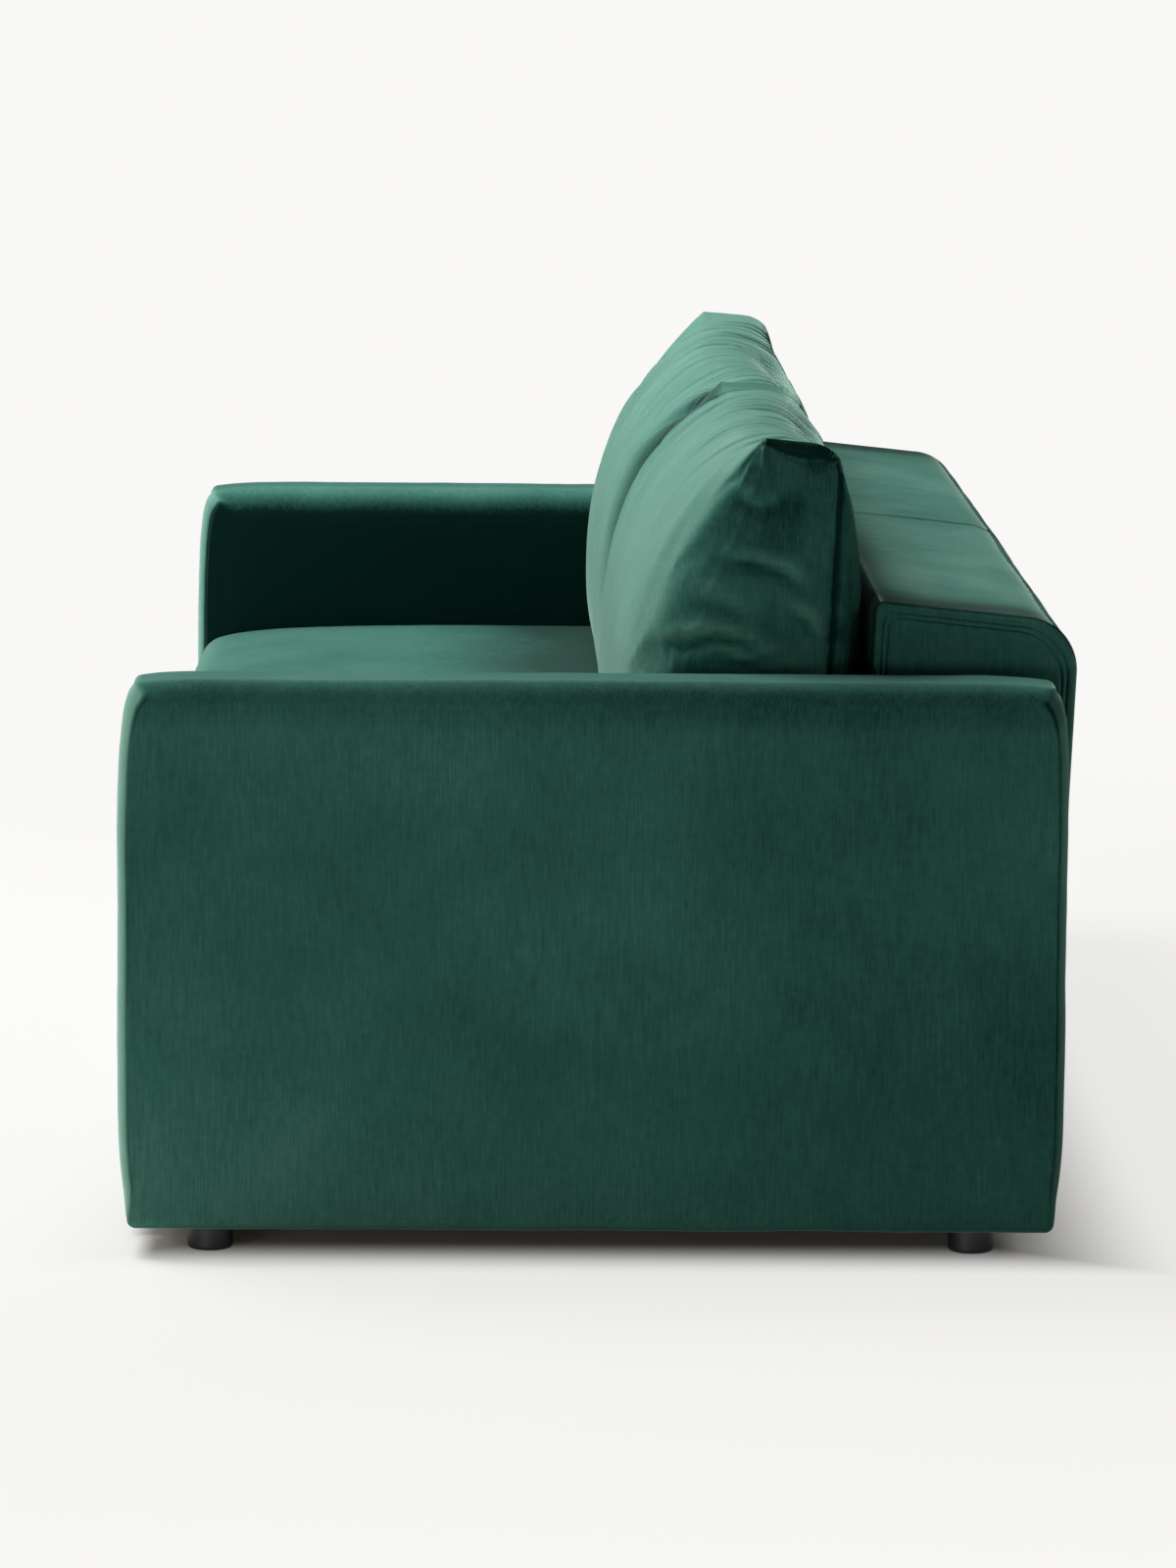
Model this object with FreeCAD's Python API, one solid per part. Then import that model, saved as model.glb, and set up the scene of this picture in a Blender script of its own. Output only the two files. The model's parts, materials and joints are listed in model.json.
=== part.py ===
import FreeCAD, Part
import math
import os

from FreeCAD import Vector

# A pull-out sofa bed: the seat rolls forward and the back folds down flat behind it.
# Millimetres, +X to the left of someone sitting in it, +Y to the rear, +Z up, floor at Z = 0.
# The origin is on the floor, at the middle of the width and of the depth.

# Whole sofa
overall_width = 2200
overall_depth = 1062

# Fits
sliding_fit = 0.3
bolt_fit = 0.25
running_fit = 0.05
hole_relief = 1.0

# Arms
arm_thickness = 120
arm_depth = 1038
arm_height = 640
arm_corner_radius = 62
arm_edge_radius = 30
arm_padding = 20
arm_board_thickness = 3
arm_bottom_rail_height = 100
arm_top_rail_height = 45
arm_post_width = 60
pivot_post_width = 130

# Feet
foot_height = 30
foot_diameter = 50
foot_edge_radius = 4
foot_setback = 101
stud_diameter = 8
stud_depth_in_foot = 18
stud_depth_in_rail = 40

# Base between the arms
side_panel_thickness = 18
side_panel_height = 144
side_panel_low_height = 56
side_panel_apron_gap = 6
side_panel_rear_setback = 14
panel_lift = 4
rail_thickness = 24
rail_height = 74
rear_rail_height = 100
front_rail_castor_gap = 16
middle_rail_place = -28
floor_thickness = 4
centre_beam_width = 40
centre_beam_height = 52
bolt_diameter = 8
bolt_head_diameter = 16
bolt_head_height = 5
bolt_length = 96
bolt_height = 62
bay_edge_share = 0.25
frame_screw_diameter = 5
frame_screw_length = 65
frame_screw_lift = 12
frame_screw_spread = 28

# Runners for the seat's rollers
runner_height = 40
runner_depth = 20
runner_wall = 2
runner_lift = 120
runner_rear_overlap = 8
runner_screw_shares = (0.15, 0.5, 0.85)
runner_screw_diameter = 4
runner_screw_length = 14
runner_screw_head_diameter = 8
runner_screw_head_height = 1.5

# Seat
seat_height = 450
seat_bottom = 190
seat_side_gap = 6
seat_draw_in = 8
seat_draw_width = 40
seat_top_crown = 4
seat_front_round_depth = 131
seat_front_round_drop = 100
seat_shoulder_setback = 34
seat_shoulder_drop = 19
seat_front_tuck = 15
seat_belly = 1.5
seat_belly_drop = 38
seat_rear_radius = 24
seat_rear_rake = 0.44
seat_rear_land = 12
seat_foam = 75
seat_front_wall = 34
seat_side_wall = 20
seat_rear_wall = 16
seat_spring_room = 39
seat_front_rail_thickness = 32
seat_rear_rail_thickness = 30
seat_side_rail_thickness = 40
seat_cross_rail_thickness = 30
seat_bays = 3
dust_cloth_thickness = 2
spring_wire = 4
spring_half_width = 18
spring_pitch = 60
springs_per_bay = 4
spring_rest = 12

# Apron under the seat's front edge
apron_setback = 15
apron_bottom = 36
apron_gap = 3
apron_padding = 9
apron_board_thickness = 15
apron_edge_radius = 8

# Castors under the seat's front
castor_inset = 274
castor_post_width = 60
castor_post_depth = 45
castor_wheel_diameter = 50
castor_wheel_width = 20
castor_axle_diameter = 8
castor_sheet = 3
castor_side_gap = 1.5
castor_headroom = 8
castor_cheek_width = 26

# Rollers under the seat's rear
roller_width = 13
roller_axle_diameter = 8
roller_axle_head_diameter = 14
roller_axle_head_height = 4
roller_clip_height = 1
roller_clip_diameter = 12
roller_spacing = 190
roller_bracket_sheet = 3
roller_bracket_flange = 27
roller_bracket_overhang = 30

# Back
back_height = 709
back_thickness = 228
back_rake = 2.5
back_rail_gap = 17
back_side_gap = 12
back_top_fall = 9
back_front_radius = 18
back_top_rear_radius = 60
back_bottom_front_radius = 35
back_bottom_rear_radius = 70
back_draw_in = 10
back_draw_width = 40
back_seam_depth = 6
back_seam_width = 24
back_front_foam = 44
back_rear_foam = 20
back_top_foam = 42
back_bottom_foam = 22
back_end_wall = 16
back_post_thickness = 40
back_rail_height = 42
back_bays = 4
webbing_width = 60
webbing_thickness = 2
webbing_count = 5

# Fold pivot
pivot_setback = 20
bed_step = 3
bed_gap = 12
seat_back_gap = 8
plate_thickness = 4
pivot_pin_diameter = 12
pivot_flange_diameter = 22
pin_spigot_length = 12
bush_wall = 2
bush_length = 8
bush_flange_diameter = 24
bush_flange_thickness = 2
bush_relief = 4
stop_pin_diameter = 10
stop_flange_diameter = 16
stop_radius = 70
stop_start_angle = -45
stop_play = 0.6
plate_front = 16
plate_rear = 112
plate_half_height = 82
plate_corner_radius = 14
plate_screw_inset = 17
plate_screw_front = 34
bracket_front = 24
bracket_rear = 86
bracket_below = 86
bracket_above = 46
bracket_screw_inset = 14
plate_screw_diameter = 5
plate_screw_head_diameter = 9
plate_screw_head_height = 2.5
plate_screw_length = 40

# Loose cushions
cushion_side_gap = 12
cushion_middle_gap = 12
cushion_back_gap = 5
cushion_height = 436
cushion_bottom_depth = 236
cushion_front_lean = 20
cushion_front_bow = 30
cushion_front_bulge_height = 130
cushion_top_depth = 102
cushion_top_setback = 33
cushion_top_rise = 22
cushion_front_crown = 14
cushion_rear_crown = 4
cushion_top_crown = 8
cushion_rear_tuck = 22
cushion_rear_bulge_height = 160
cushion_draw = 26
cushion_draw_swell = 0.55
cushion_shoulder_share = 0.2
cushion_shoulder_swell = 0.95
cushion_wall = 14

# Places that follow from the sizes above
outer_x = overall_width / 2
inner_x = outer_x - arm_thickness
arm_middle_x = (inner_x + outer_x) / 2
arm_end = arm_depth / 2
panel_x = inner_x - side_panel_thickness
seat_half = inner_x - seat_side_gap
back_half = inner_x - back_side_gap

panel_bottom = foot_height + panel_lift
rail_bottom = panel_bottom + floor_thickness

rake = math.radians(back_rake)
pivot_z = seat_height - bed_step - pivot_setback
back_below_pivot = pivot_z - rail_bottom - rear_rail_height - back_rail_gap
back_above_pivot = (back_height - pivot_z) / math.cos(rake)
back_rear = back_thickness - pivot_setback
rear_arc_v = back_rear - back_top_rear_radius
rear_arc_u = back_above_pivot - back_top_fall - back_top_rear_radius
rear_arc_offset = rear_arc_v * math.cos(rake) + rear_arc_u * math.sin(rake)
pivot_y = overall_depth / 2 - back_top_rear_radius - rear_arc_offset

front_y = -overall_depth / 2
seat_level_face_y = pivot_y - pivot_setback / math.cos(rake) + (seat_height - pivot_z) * math.tan(rake)
seat_rear_y = seat_level_face_y - seat_back_gap
seat_travel = seat_rear_y - (pivot_y - back_below_pivot - bed_gap)

apron_front = front_y + apron_setback
apron_board_front = apron_front + apron_padding
apron_board_rear = apron_board_front + apron_board_thickness
apron_top = seat_bottom - apron_gap
castor_place = seat_half - castor_inset
castor_post_rear = apron_board_rear + castor_post_depth

panel_front = apron_board_rear + side_panel_apron_gap
panel_rear = arm_end - side_panel_rear_setback
front_rail_y = castor_post_rear + front_rail_castor_gap
rear_rail_y = panel_rear - rail_thickness

runner_front = panel_front
roller_diameter = runner_height - 2 * runner_wall - 2 * sliding_fit
roller_z = runner_lift + runner_height / 2
roller_front_place = runner_front + runner_wall + hole_relief + roller_diameter / 2 + seat_travel
roller_rear_place = roller_front_place + roller_spacing
runner_rear = roller_rear_place + roller_diameter / 2 + runner_rear_overlap

seat_hollow_top = seat_height - seat_top_crown - seat_foam
rail_top = seat_hollow_top - seat_spring_room
core_x = seat_half - seat_side_wall - sliding_fit
cross_rail_x = core_x / seat_bays
seat_core_front = front_y + seat_front_wall + seat_front_tuck


def box(x0, x1, y0, y1, z0, z1):
    return Part.makeBox(x1 - x0, y1 - y0, z1 - z0, Vector(x0, y0, z0))


def rod_x(diameter, x0, x1, y, z):
    return Part.makeCylinder(diameter / 2, x1 - x0, Vector(x0, y, z), Vector(1, 0, 0))


def rod_z(diameter, x, y, z0, z1):
    return Part.makeCylinder(diameter / 2, z1 - z0, Vector(x, y, z0))


def outline(x, start, runs):
    """A closed wire at one X: each run is an end point, or a point on an arc and its end point."""
    edges = []
    here = Vector(x, *start)
    for run in runs:
        end = Vector(x, *run[-1])
        if len(run) == 2:
            edges.append(Part.Arc(here, Vector(x, *run[0]), end).toShape())
        else:
            edges.append(Part.LineSegment(here, end).toShape())
        here = end
    return Part.Wire(edges)


def prism(x0, x1, start, runs):
    return Part.Face(outline(x0, start, runs)).extrude(Vector(x1 - x0, 0, 0))


def on_circle(y, z, radius, degrees):
    angle = math.radians(degrees)
    return (y + radius * math.cos(angle), z + radius * math.sin(angle))


def rounded_plate(x0, x1, y0, y1, z0, z1, radius):
    runs = [
        ((y1 - radius, z0),),
        (on_circle(y1 - radius, z0 + radius, radius, -45), (y1, z0 + radius)),
        ((y1, z1 - radius),),
        (on_circle(y1 - radius, z1 - radius, radius, 45), (y1 - radius, z1)),
        ((y0 + radius, z1),),
        (on_circle(y0 + radius, z1 - radius, radius, 135), (y0, z1 - radius)),
        ((y0, z0 + radius),),
        (on_circle(y0 + radius, z0 + radius, radius, 225), (y0 + radius, z0)),
    ]
    return prism(x0, x1, (y0 + radius, z0), runs)


def cut_all(shape, tools):
    return shape.cut(tools)


def mirrored(shape):
    return shape.mirror(Vector(0, 0, 0), Vector(1, 0, 0))


def save(node, *solids):
    shape = solids[0] if len(solids) == 1 else Part.makeCompound(list(solids))
    shape.exportStep("parts/" + node + ".step")


def save_pair(node, *solids):
    save("left_" + node, *solids)
    save("right_" + node, *[mirrored(s) for s in solids])


def both_sides(solids):
    return list(solids) + [mirrored(s) for s in solids]


# Places of the fasteners

def arm_bolt_ys():
    """Two bolts in the bay before the middle rail and two in the bay behind it."""
    front_bay = (front_rail_y + rail_thickness, middle_rail_place - rail_thickness / 2)
    rear_bay = (middle_rail_place + rail_thickness / 2, rear_rail_y)
    places = []
    for low, high in (front_bay, rear_bay):
        edge = (high - low) * bay_edge_share
        places += [low + edge, high - edge]
    return places


def foot_ys():
    return [-arm_end + foot_setback, arm_end - foot_setback]


def bracket_screw_places():
    ys = (pivot_y - bracket_front + bracket_screw_inset, pivot_y + bracket_rear - bracket_screw_inset)
    zs = (pivot_z - bracket_below + bracket_screw_inset, pivot_z + bracket_above - bracket_screw_inset)
    return [(y, z) for y in ys for z in zs]


def stop_pin_place():
    return on_circle(pivot_y, pivot_z, stop_radius, stop_start_angle - back_rake)


def bolt_holes(x0, x1, clearance):
    return [rod_x(bolt_diameter + 2 * clearance, x0, x1, y, bolt_height) for y in arm_bolt_ys()]


def bracket_screw_holes(x0, x1, clearance):
    size = plate_screw_diameter + 2 * clearance
    return [rod_x(size, x0, x1, y, z) for y, z in bracket_screw_places()]


def pin_holes(x0, x1, clearance):
    stop_y, stop_z = stop_pin_place()
    return [
        rod_x(pivot_pin_diameter + 2 * clearance, x0, x1, pivot_y, pivot_z),
        rod_x(stop_pin_diameter + 2 * clearance, x0, x1, stop_y, stop_z),
    ]


# Arms

def arm_outline_prism(x0, x1, inset, corner_radius):
    """The arm's side outline with round top corners, shrunk by an inset except at the bottom."""
    end = arm_end - inset
    top = arm_height - inset
    side = top - corner_radius
    runs = [
        ((end, foot_height),),
        ((end, side),),
        (on_circle(end - corner_radius, side, corner_radius, 45), (end - corner_radius, top)),
        ((-end + corner_radius, top),),
        (on_circle(-end + corner_radius, side, corner_radius, 135), (-end, side)),
        ((-end, foot_height),),
    ]
    return prism(x0, x1, (-end, foot_height), runs)


def arm_core(x0, x1, clearance):
    inset = arm_padding + clearance
    return arm_outline_prism(x0, x1, inset, arm_corner_radius - inset)


def make_arm_upholstery():
    block = arm_outline_prism(inner_x, outer_x, 0, arm_corner_radius)
    rolled = []
    for edge in block.Edges:
        bounds = edge.BoundBox
        if bounds.XLength < sliding_fit and bounds.ZMax > foot_height + sliding_fit:
            rolled.append(edge)
    block = block.makeFillet(arm_edge_radius, rolled)
    hollow = arm_core(inner_x + arm_padding, outer_x - arm_padding, 0)
    wall = (inner_x - hole_relief, inner_x + arm_padding + hole_relief)
    holes = bolt_holes(*wall, hole_relief) + bracket_screw_holes(*wall, hole_relief)
    return cut_all(block, [hollow] + holes + pin_holes(*wall, hole_relief))


arm_core_x0 = inner_x + arm_padding + sliding_fit
arm_core_x1 = outer_x - arm_padding - sliding_fit
arm_timber_x0 = arm_core_x0 + arm_board_thickness
arm_timber_x1 = arm_core_x1 - arm_board_thickness


def stud_holes(clearance):
    holes = []
    for y in foot_ys():
        low = foot_height - stud_depth_in_foot
        high = foot_height + stud_depth_in_rail + clearance
        holes.append(rod_z(stud_diameter + 2 * clearance, arm_middle_x, y, low, high))
    return holes


def make_arm_frame():
    core = arm_core(arm_timber_x0, arm_timber_x1, sliding_fit)
    end = arm_end - arm_padding
    rail_z = foot_height + arm_bottom_rail_height
    top_z = arm_height - arm_padding - arm_top_rail_height
    across = (arm_timber_x0, arm_timber_x1)
    post_y = pivot_y + (bracket_rear - bracket_front) / 2
    members = [
        box(*across, -end, end, foot_height, rail_z),
        box(*across, -end, end, top_z, arm_height),
        box(*across, -end, -end + arm_post_width, rail_z, top_z),
        box(*across, end - arm_post_width, end, rail_z, top_z),
        box(*across, post_y - pivot_post_width / 2, post_y + pivot_post_width / 2, rail_z, top_z),
    ]
    reach = (arm_timber_x0 - hole_relief, arm_timber_x1)
    tools = bolt_holes(*reach, bolt_fit) + stud_holes(bolt_fit)
    tools += bracket_screw_holes(*reach, bolt_fit) + pin_holes(*reach, hole_relief)
    return [cut_all(member.common(core), tools) for member in members]


def make_arm_boards():
    inner = arm_core(arm_core_x0, arm_timber_x0, sliding_fit)
    outer = arm_core(arm_timber_x1, arm_core_x1, sliding_fit)
    reach = (arm_core_x0 - hole_relief, arm_timber_x0 + hole_relief)
    tools = bolt_holes(*reach, bolt_fit) + bracket_screw_holes(*reach, bolt_fit)
    return [cut_all(inner, tools + pin_holes(*reach, hole_relief)), outer]


# Feet

def make_foot(x, y, height):
    foot = rod_z(foot_diameter, x, y, 0, height)
    lowest = min(foot.Edges, key=lambda e: e.BoundBox.ZMax)
    return foot.makeFillet(foot_edge_radius, [lowest])


def make_arm_foot(y):
    return cut_all(make_foot(arm_middle_x, y, foot_height), stud_holes(bolt_fit))


def make_studs():
    studs = []
    for y in foot_ys():
        low = foot_height - stud_depth_in_foot
        studs.append(rod_z(stud_diameter, arm_middle_x, y, low, foot_height + stud_depth_in_rail))
    return both_sides(studs)


def make_centre_feet():
    ys = (front_rail_y + rail_thickness / 2, rear_rail_y + rail_thickness / 2)
    return [make_foot(0, y, panel_bottom) for y in ys]


# Base between the arms

base_rails = {
    "front_rail": (front_rail_y, rail_height),
    "middle_rail": (middle_rail_place - rail_thickness / 2, rail_height),
    "rear_rail": (rear_rail_y, rear_rail_height),
}


def frame_screw_places():
    places = []
    low = rail_bottom + frame_screw_lift
    for y, _ in base_rails.values():
        for z in (low, low + frame_screw_spread):
            places.append((y + rail_thickness / 2, z))
    return places


def frame_screw_rods(x0, x1, clearance):
    size = frame_screw_diameter + 2 * clearance
    return [rod_x(size, x0, x1, y, z) for y, z in frame_screw_places()]


def runner_screw_ys():
    length = runner_rear - runner_front
    return [runner_front + length * share for share in runner_screw_shares]


def runner_screw_rods(x0, x1, clearance):
    size = runner_screw_diameter + 2 * clearance
    return [rod_x(size, x0, x1, y, roller_z) for y in runner_screw_ys()]


def make_side_panel():
    step_y = runner_rear + hole_relief
    runs = [
        ((panel_rear, panel_bottom),),
        ((panel_rear, panel_bottom + side_panel_low_height),),
        ((step_y, panel_bottom + side_panel_low_height),),
        ((step_y, panel_bottom + side_panel_height),),
        ((panel_front, panel_bottom + side_panel_height),),
        ((panel_front, panel_bottom),),
    ]
    panel = prism(panel_x, inner_x, (panel_front, panel_bottom), runs)
    through = (panel_x - hole_relief, inner_x + hole_relief)
    tools = bolt_holes(*through, bolt_fit) + frame_screw_rods(*through, bolt_fit)
    return cut_all(panel, tools + runner_screw_rods(*through, bolt_fit))


def make_base_rail(y, height):
    rail = box(-panel_x, panel_x, y, y + rail_thickness, rail_bottom, rail_bottom + height)
    tip = inner_x - frame_screw_length - hole_relief
    return cut_all(rail, both_sides(frame_screw_rods(tip, panel_x, bolt_fit)))


def make_centre_beam():
    half = centre_beam_width / 2
    top = rail_bottom + centre_beam_height
    middle = rail_thickness / 2
    return [
        box(-half, half, front_rail_y + rail_thickness, middle_rail_place - middle, rail_bottom, top),
        box(-half, half, middle_rail_place + middle, rear_rail_y, rail_bottom, top),
    ]


def make_base_floor():
    return box(-panel_x, panel_x, front_rail_y, panel_rear, panel_bottom, rail_bottom)


def make_arm_bolts():
    bolts = []
    for y in arm_bolt_ys():
        head = rod_x(bolt_head_diameter, panel_x - bolt_head_height, panel_x, y, bolt_height)
        shank = rod_x(bolt_diameter, panel_x, panel_x + bolt_length, y, bolt_height)
        bolts.append(head.fuse(shank).removeSplitter())
    return both_sides(bolts)


def make_frame_screws():
    return both_sides(frame_screw_rods(inner_x - frame_screw_length, inner_x, 0))


# Runners

def make_runner():
    x0 = panel_x - runner_depth
    z1 = runner_lift + runner_height
    runner = box(x0, panel_x, runner_front, runner_rear, runner_lift, z1)
    ys = (runner_front + runner_wall, runner_rear)
    groove = box(x0, panel_x - runner_wall, *ys, runner_lift + runner_wall, z1 - runner_wall)
    reach = (panel_x - runner_wall - hole_relief, panel_x + hole_relief)
    return cut_all(runner, [groove] + runner_screw_rods(*reach, bolt_fit))


def make_runner_screws():
    screws = []
    face = panel_x - runner_wall
    for y in runner_screw_ys():
        head = rod_x(runner_screw_head_diameter, face - runner_screw_head_height, face, y, roller_z)
        shank = rod_x(runner_screw_diameter, face, face + runner_screw_length, y, roller_z)
        screws.append(head.fuse(shank).removeSplitter())
    return both_sides(screws)


# Seat

rear_land_z = seat_height - seat_top_crown - seat_rear_radius - seat_rear_land


def rear_rake_y(z):
    """The seat's rear face leans forward below its top, so that the back can swing past it."""
    return seat_rear_y - seat_rear_rake * (rear_land_z - z)


def seat_outline(x, inset):
    top = seat_height - inset
    edge = top - seat_top_crown
    front = front_y + inset
    rear = seat_rear_y - inset
    round_y = front + seat_front_round_depth
    round_z = edge - seat_front_round_drop
    tuck = front + seat_front_tuck
    shoulder = (front + seat_shoulder_setback, edge - seat_shoulder_drop)
    belly = (front - seat_belly, round_z - seat_belly_drop)
    runs = [
        ((rear, rear_land_z - inset),),
        ((rear, edge - seat_rear_radius),),
        (on_circle(rear - seat_rear_radius, edge - seat_rear_radius, seat_rear_radius, 45),
         (rear - seat_rear_radius, edge)),
        (((rear + round_y) / 2, top), (round_y, edge)),
        (shoulder, (front, round_z)),
        (belly, (tuck, seat_bottom)),
        ((rear_rake_y(seat_bottom) - inset, seat_bottom),),
    ]
    return outline(x, (rear_rake_y(seat_bottom) - inset, seat_bottom), runs)


def seat_core_prism(x0, x1, front, rear_wall, z0, z1):
    """A block between the seat's front and rear walls, with the rear wall's lean."""
    runs = [
        ((rear_rake_y(z0) - rear_wall, z0),),
        ((rear_rake_y(z1) - rear_wall, z1),),
        ((front, z1),),
        ((front, z0),),
    ]
    return prism(x0, x1, (front, z0), runs)


def make_seat_upholstery():
    drawn = seat_half - seat_draw_width
    sections = [(-seat_half, seat_draw_in), (-drawn, 0), (drawn, 0), (seat_half, seat_draw_in)]
    block = Part.makeLoft([seat_outline(x, inset) for x, inset in sections], True, True)
    side = seat_half - seat_side_wall
    hollow = seat_core_prism(-side, side, seat_core_front, seat_rear_wall, seat_bottom, seat_hollow_top)
    return block.cut(hollow)


seat_rail_bottom = seat_bottom + dust_cloth_thickness
front_rail_back = seat_core_front + sliding_fit + seat_front_rail_thickness
rear_rail_wall = seat_rear_wall + sliding_fit


def make_seat_front_rail():
    front = seat_core_front + sliding_fit
    return box(-core_x, core_x, front, front_rail_back, seat_rail_bottom, rail_top)


def make_seat_rear_rail():
    inner = rear_rail_wall + seat_rear_rail_thickness
    runs = [
        ((rear_rake_y(seat_rail_bottom) - rear_rail_wall, seat_rail_bottom),),
        ((rear_rake_y(rail_top) - rear_rail_wall, rail_top),),
        ((rear_rake_y(rail_top) - inner, rail_top),),
        ((rear_rake_y(seat_rail_bottom) - inner, seat_rail_bottom),),
    ]
    return prism(-core_x, core_x, (rear_rake_y(seat_rail_bottom) - inner, seat_rail_bottom), runs)


def seat_long_rail(x0, x1):
    inner = rear_rail_wall + seat_rear_rail_thickness
    return seat_core_prism(x0, x1, front_rail_back, inner, seat_rail_bottom, rail_top)


def make_seat_side_rails():
    return both_sides([seat_long_rail(core_x - seat_side_rail_thickness, core_x)])


def make_seat_cross_rails():
    half = seat_cross_rail_thickness / 2
    return both_sides([seat_long_rail(cross_rail_x - half, cross_rail_x + half)])


def make_dust_cloth():
    side = seat_half - seat_side_wall - sliding_fit
    front = seat_core_front + sliding_fit
    return seat_core_prism(-side, side, front, rear_rail_wall, seat_bottom, seat_rail_bottom)


def zigzag_spring(x, y0, y1, z):
    """A flat zigzag wire along Y: runs across X joined by half turns, each made of two quarter arcs."""
    turns = int((y1 - y0) // spring_pitch) * 2 - 1
    step = (y1 - y0) / (turns + 1)
    radius = step / 2
    reach = spring_half_width - radius
    bow = radius * math.sqrt(0.5)
    edges = [Part.LineSegment(Vector(x, y0, z), Vector(x + reach, y0, z)).toShape()]
    side = 1
    for turn in range(turns):
        y = y0 + turn * step
        centre = Vector(x + side * reach, y + radius, z)
        crest = centre + Vector(side * radius, 0, 0)
        low = centre - Vector(0, radius, 0)
        high = centre + Vector(0, radius, 0)
        edges.append(Part.Arc(low, centre + Vector(side * bow, -bow, 0), crest).toShape())
        edges.append(Part.Arc(crest, centre + Vector(side * bow, bow, 0), high).toShape())
        stop = 0 if turn == turns - 1 else -side * reach
        edges.append(Part.LineSegment(high, Vector(x + stop, y + step, z)).toShape())
        side = -side
    start = Part.Wire([Part.Circle(Vector(x, y0, z), Vector(1, 0, 0), spring_wire / 2).toShape()])
    return Part.Wire(edges).makePipeShell([start], True, False)


def make_seat_springs():
    z = rail_top + spring_wire / 2 + sliding_fit
    y0 = front_rail_back - spring_rest
    y1 = rear_rake_y(rail_top) - rear_rail_wall - seat_rear_rail_thickness + spring_rest
    edges = [core_x - seat_side_rail_thickness, cross_rail_x]
    edges += [-edge for edge in reversed(edges)]
    springs = []
    for right, left in zip(edges[1:], edges[:-1]):
        gap = (left - right) / springs_per_bay
        springs += [zigzag_spring(right + gap * (i + 0.5), y0, y1, z) for i in range(springs_per_bay)]
    return springs


# Apron

def make_apron_board():
    side = seat_half - apron_padding
    return box(-side, side, apron_board_front, apron_board_rear, apron_bottom + apron_padding, apron_top)


def make_apron_cover():
    block = box(-seat_half, seat_half, apron_front, apron_board_rear, apron_bottom, apron_top)
    rounded = []
    for edge in block.Edges:
        bounds = edge.BoundBox
        if bounds.YLength < sliding_fit and bounds.YMax < apron_front + sliding_fit:
            rounded.append(edge)
    block = block.makeFillet(apron_edge_radius, rounded)
    side = seat_half - apron_padding
    low = apron_bottom + apron_padding
    pocket = box(-side, side, apron_board_front, apron_board_rear, low, apron_top)
    return block.cut(pocket)


# Castors

castor_post_bottom = castor_wheel_diameter + castor_headroom + castor_sheet
castor_axle_y = apron_board_rear + castor_post_depth / 2
castor_axle_z = castor_wheel_diameter / 2
castor_inside = castor_wheel_width / 2 + castor_side_gap
castor_outside = castor_inside + castor_sheet


def make_castor_post():
    half = castor_post_width / 2
    ys = (apron_board_rear, castor_post_rear)
    return box(castor_place - half, castor_place + half, *ys, castor_post_bottom, seat_bottom)


def make_castor_fork():
    top = castor_post_bottom
    low = castor_axle_z - castor_cheek_width / 2
    half = castor_cheek_width / 2
    ys = (castor_axle_y - half, castor_axle_y + half)
    block = box(castor_place - castor_outside, castor_place + castor_outside, *ys, low, top)
    inside = (castor_place - castor_inside, castor_place + castor_inside)
    gap = box(*inside, *ys, low, top - castor_sheet)
    reach = (castor_place - castor_outside, castor_place + castor_outside)
    bore = rod_x(castor_axle_diameter + 2 * running_fit, *reach, castor_axle_y, castor_axle_z)
    return cut_all(block, [gap, bore])


def make_castor_axle():
    reach = (castor_place - castor_outside, castor_place + castor_outside)
    return rod_x(castor_axle_diameter, *reach, castor_axle_y, castor_axle_z)


def make_castor_wheel():
    half = castor_wheel_width / 2
    reach = (castor_place - half, castor_place + half)
    tyre = rod_x(castor_wheel_diameter, *reach, castor_axle_y, castor_axle_z)
    return tyre.cut(rod_x(castor_axle_diameter + 2 * running_fit, *reach, castor_axle_y, castor_axle_z))


# Rollers

roller_x0 = panel_x - runner_depth + hole_relief
roller_x1 = roller_x0 + roller_width
bracket_web_x1 = roller_x0 - 2 * hole_relief
bracket_web_x0 = bracket_web_x1 - roller_bracket_sheet
roller_ys = {"rear_roller": roller_rear_place, "front_roller": roller_front_place}


def make_roller(y):
    tread = rod_x(roller_diameter, roller_x0, roller_x1, y, roller_z)
    return tread.cut(rod_x(roller_axle_diameter + 2 * running_fit, roller_x0, roller_x1, y, roller_z))


def make_roller_bracket():
    y0 = roller_front_place - roller_bracket_overhang
    y1 = roller_rear_place + roller_bracket_overhang
    flange_bottom = seat_bottom - roller_bracket_sheet
    low = roller_z - roller_axle_head_diameter
    web = box(bracket_web_x0, bracket_web_x1, y0, y1, low, seat_bottom)
    flange = box(bracket_web_x1 - roller_bracket_flange, bracket_web_x1, y0, y1, flange_bottom, seat_bottom)
    size = roller_axle_diameter + 2 * running_fit
    bores = [rod_x(size, bracket_web_x0, bracket_web_x1, y, roller_z) for y in roller_ys.values()]
    return cut_all(web.fuse(flange).removeSplitter(), bores)


def make_roller_axles():
    axles = []
    clip_x = roller_x1 + sliding_fit
    for y in roller_ys.values():
        head_x = bracket_web_x0 - roller_axle_head_height
        head = rod_x(roller_axle_head_diameter, head_x, bracket_web_x0, y, roller_z)
        collar = rod_x(roller_clip_diameter, bracket_web_x1, roller_x0 - sliding_fit, y, roller_z)
        clip = rod_x(roller_clip_diameter, clip_x, clip_x + roller_clip_height, y, roller_z)
        shank = rod_x(roller_axle_diameter, bracket_web_x0, clip_x + roller_clip_height, y, roller_z)
        axles.append(shank.fuse([head, collar, clip]).removeSplitter())
    return axles


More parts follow.
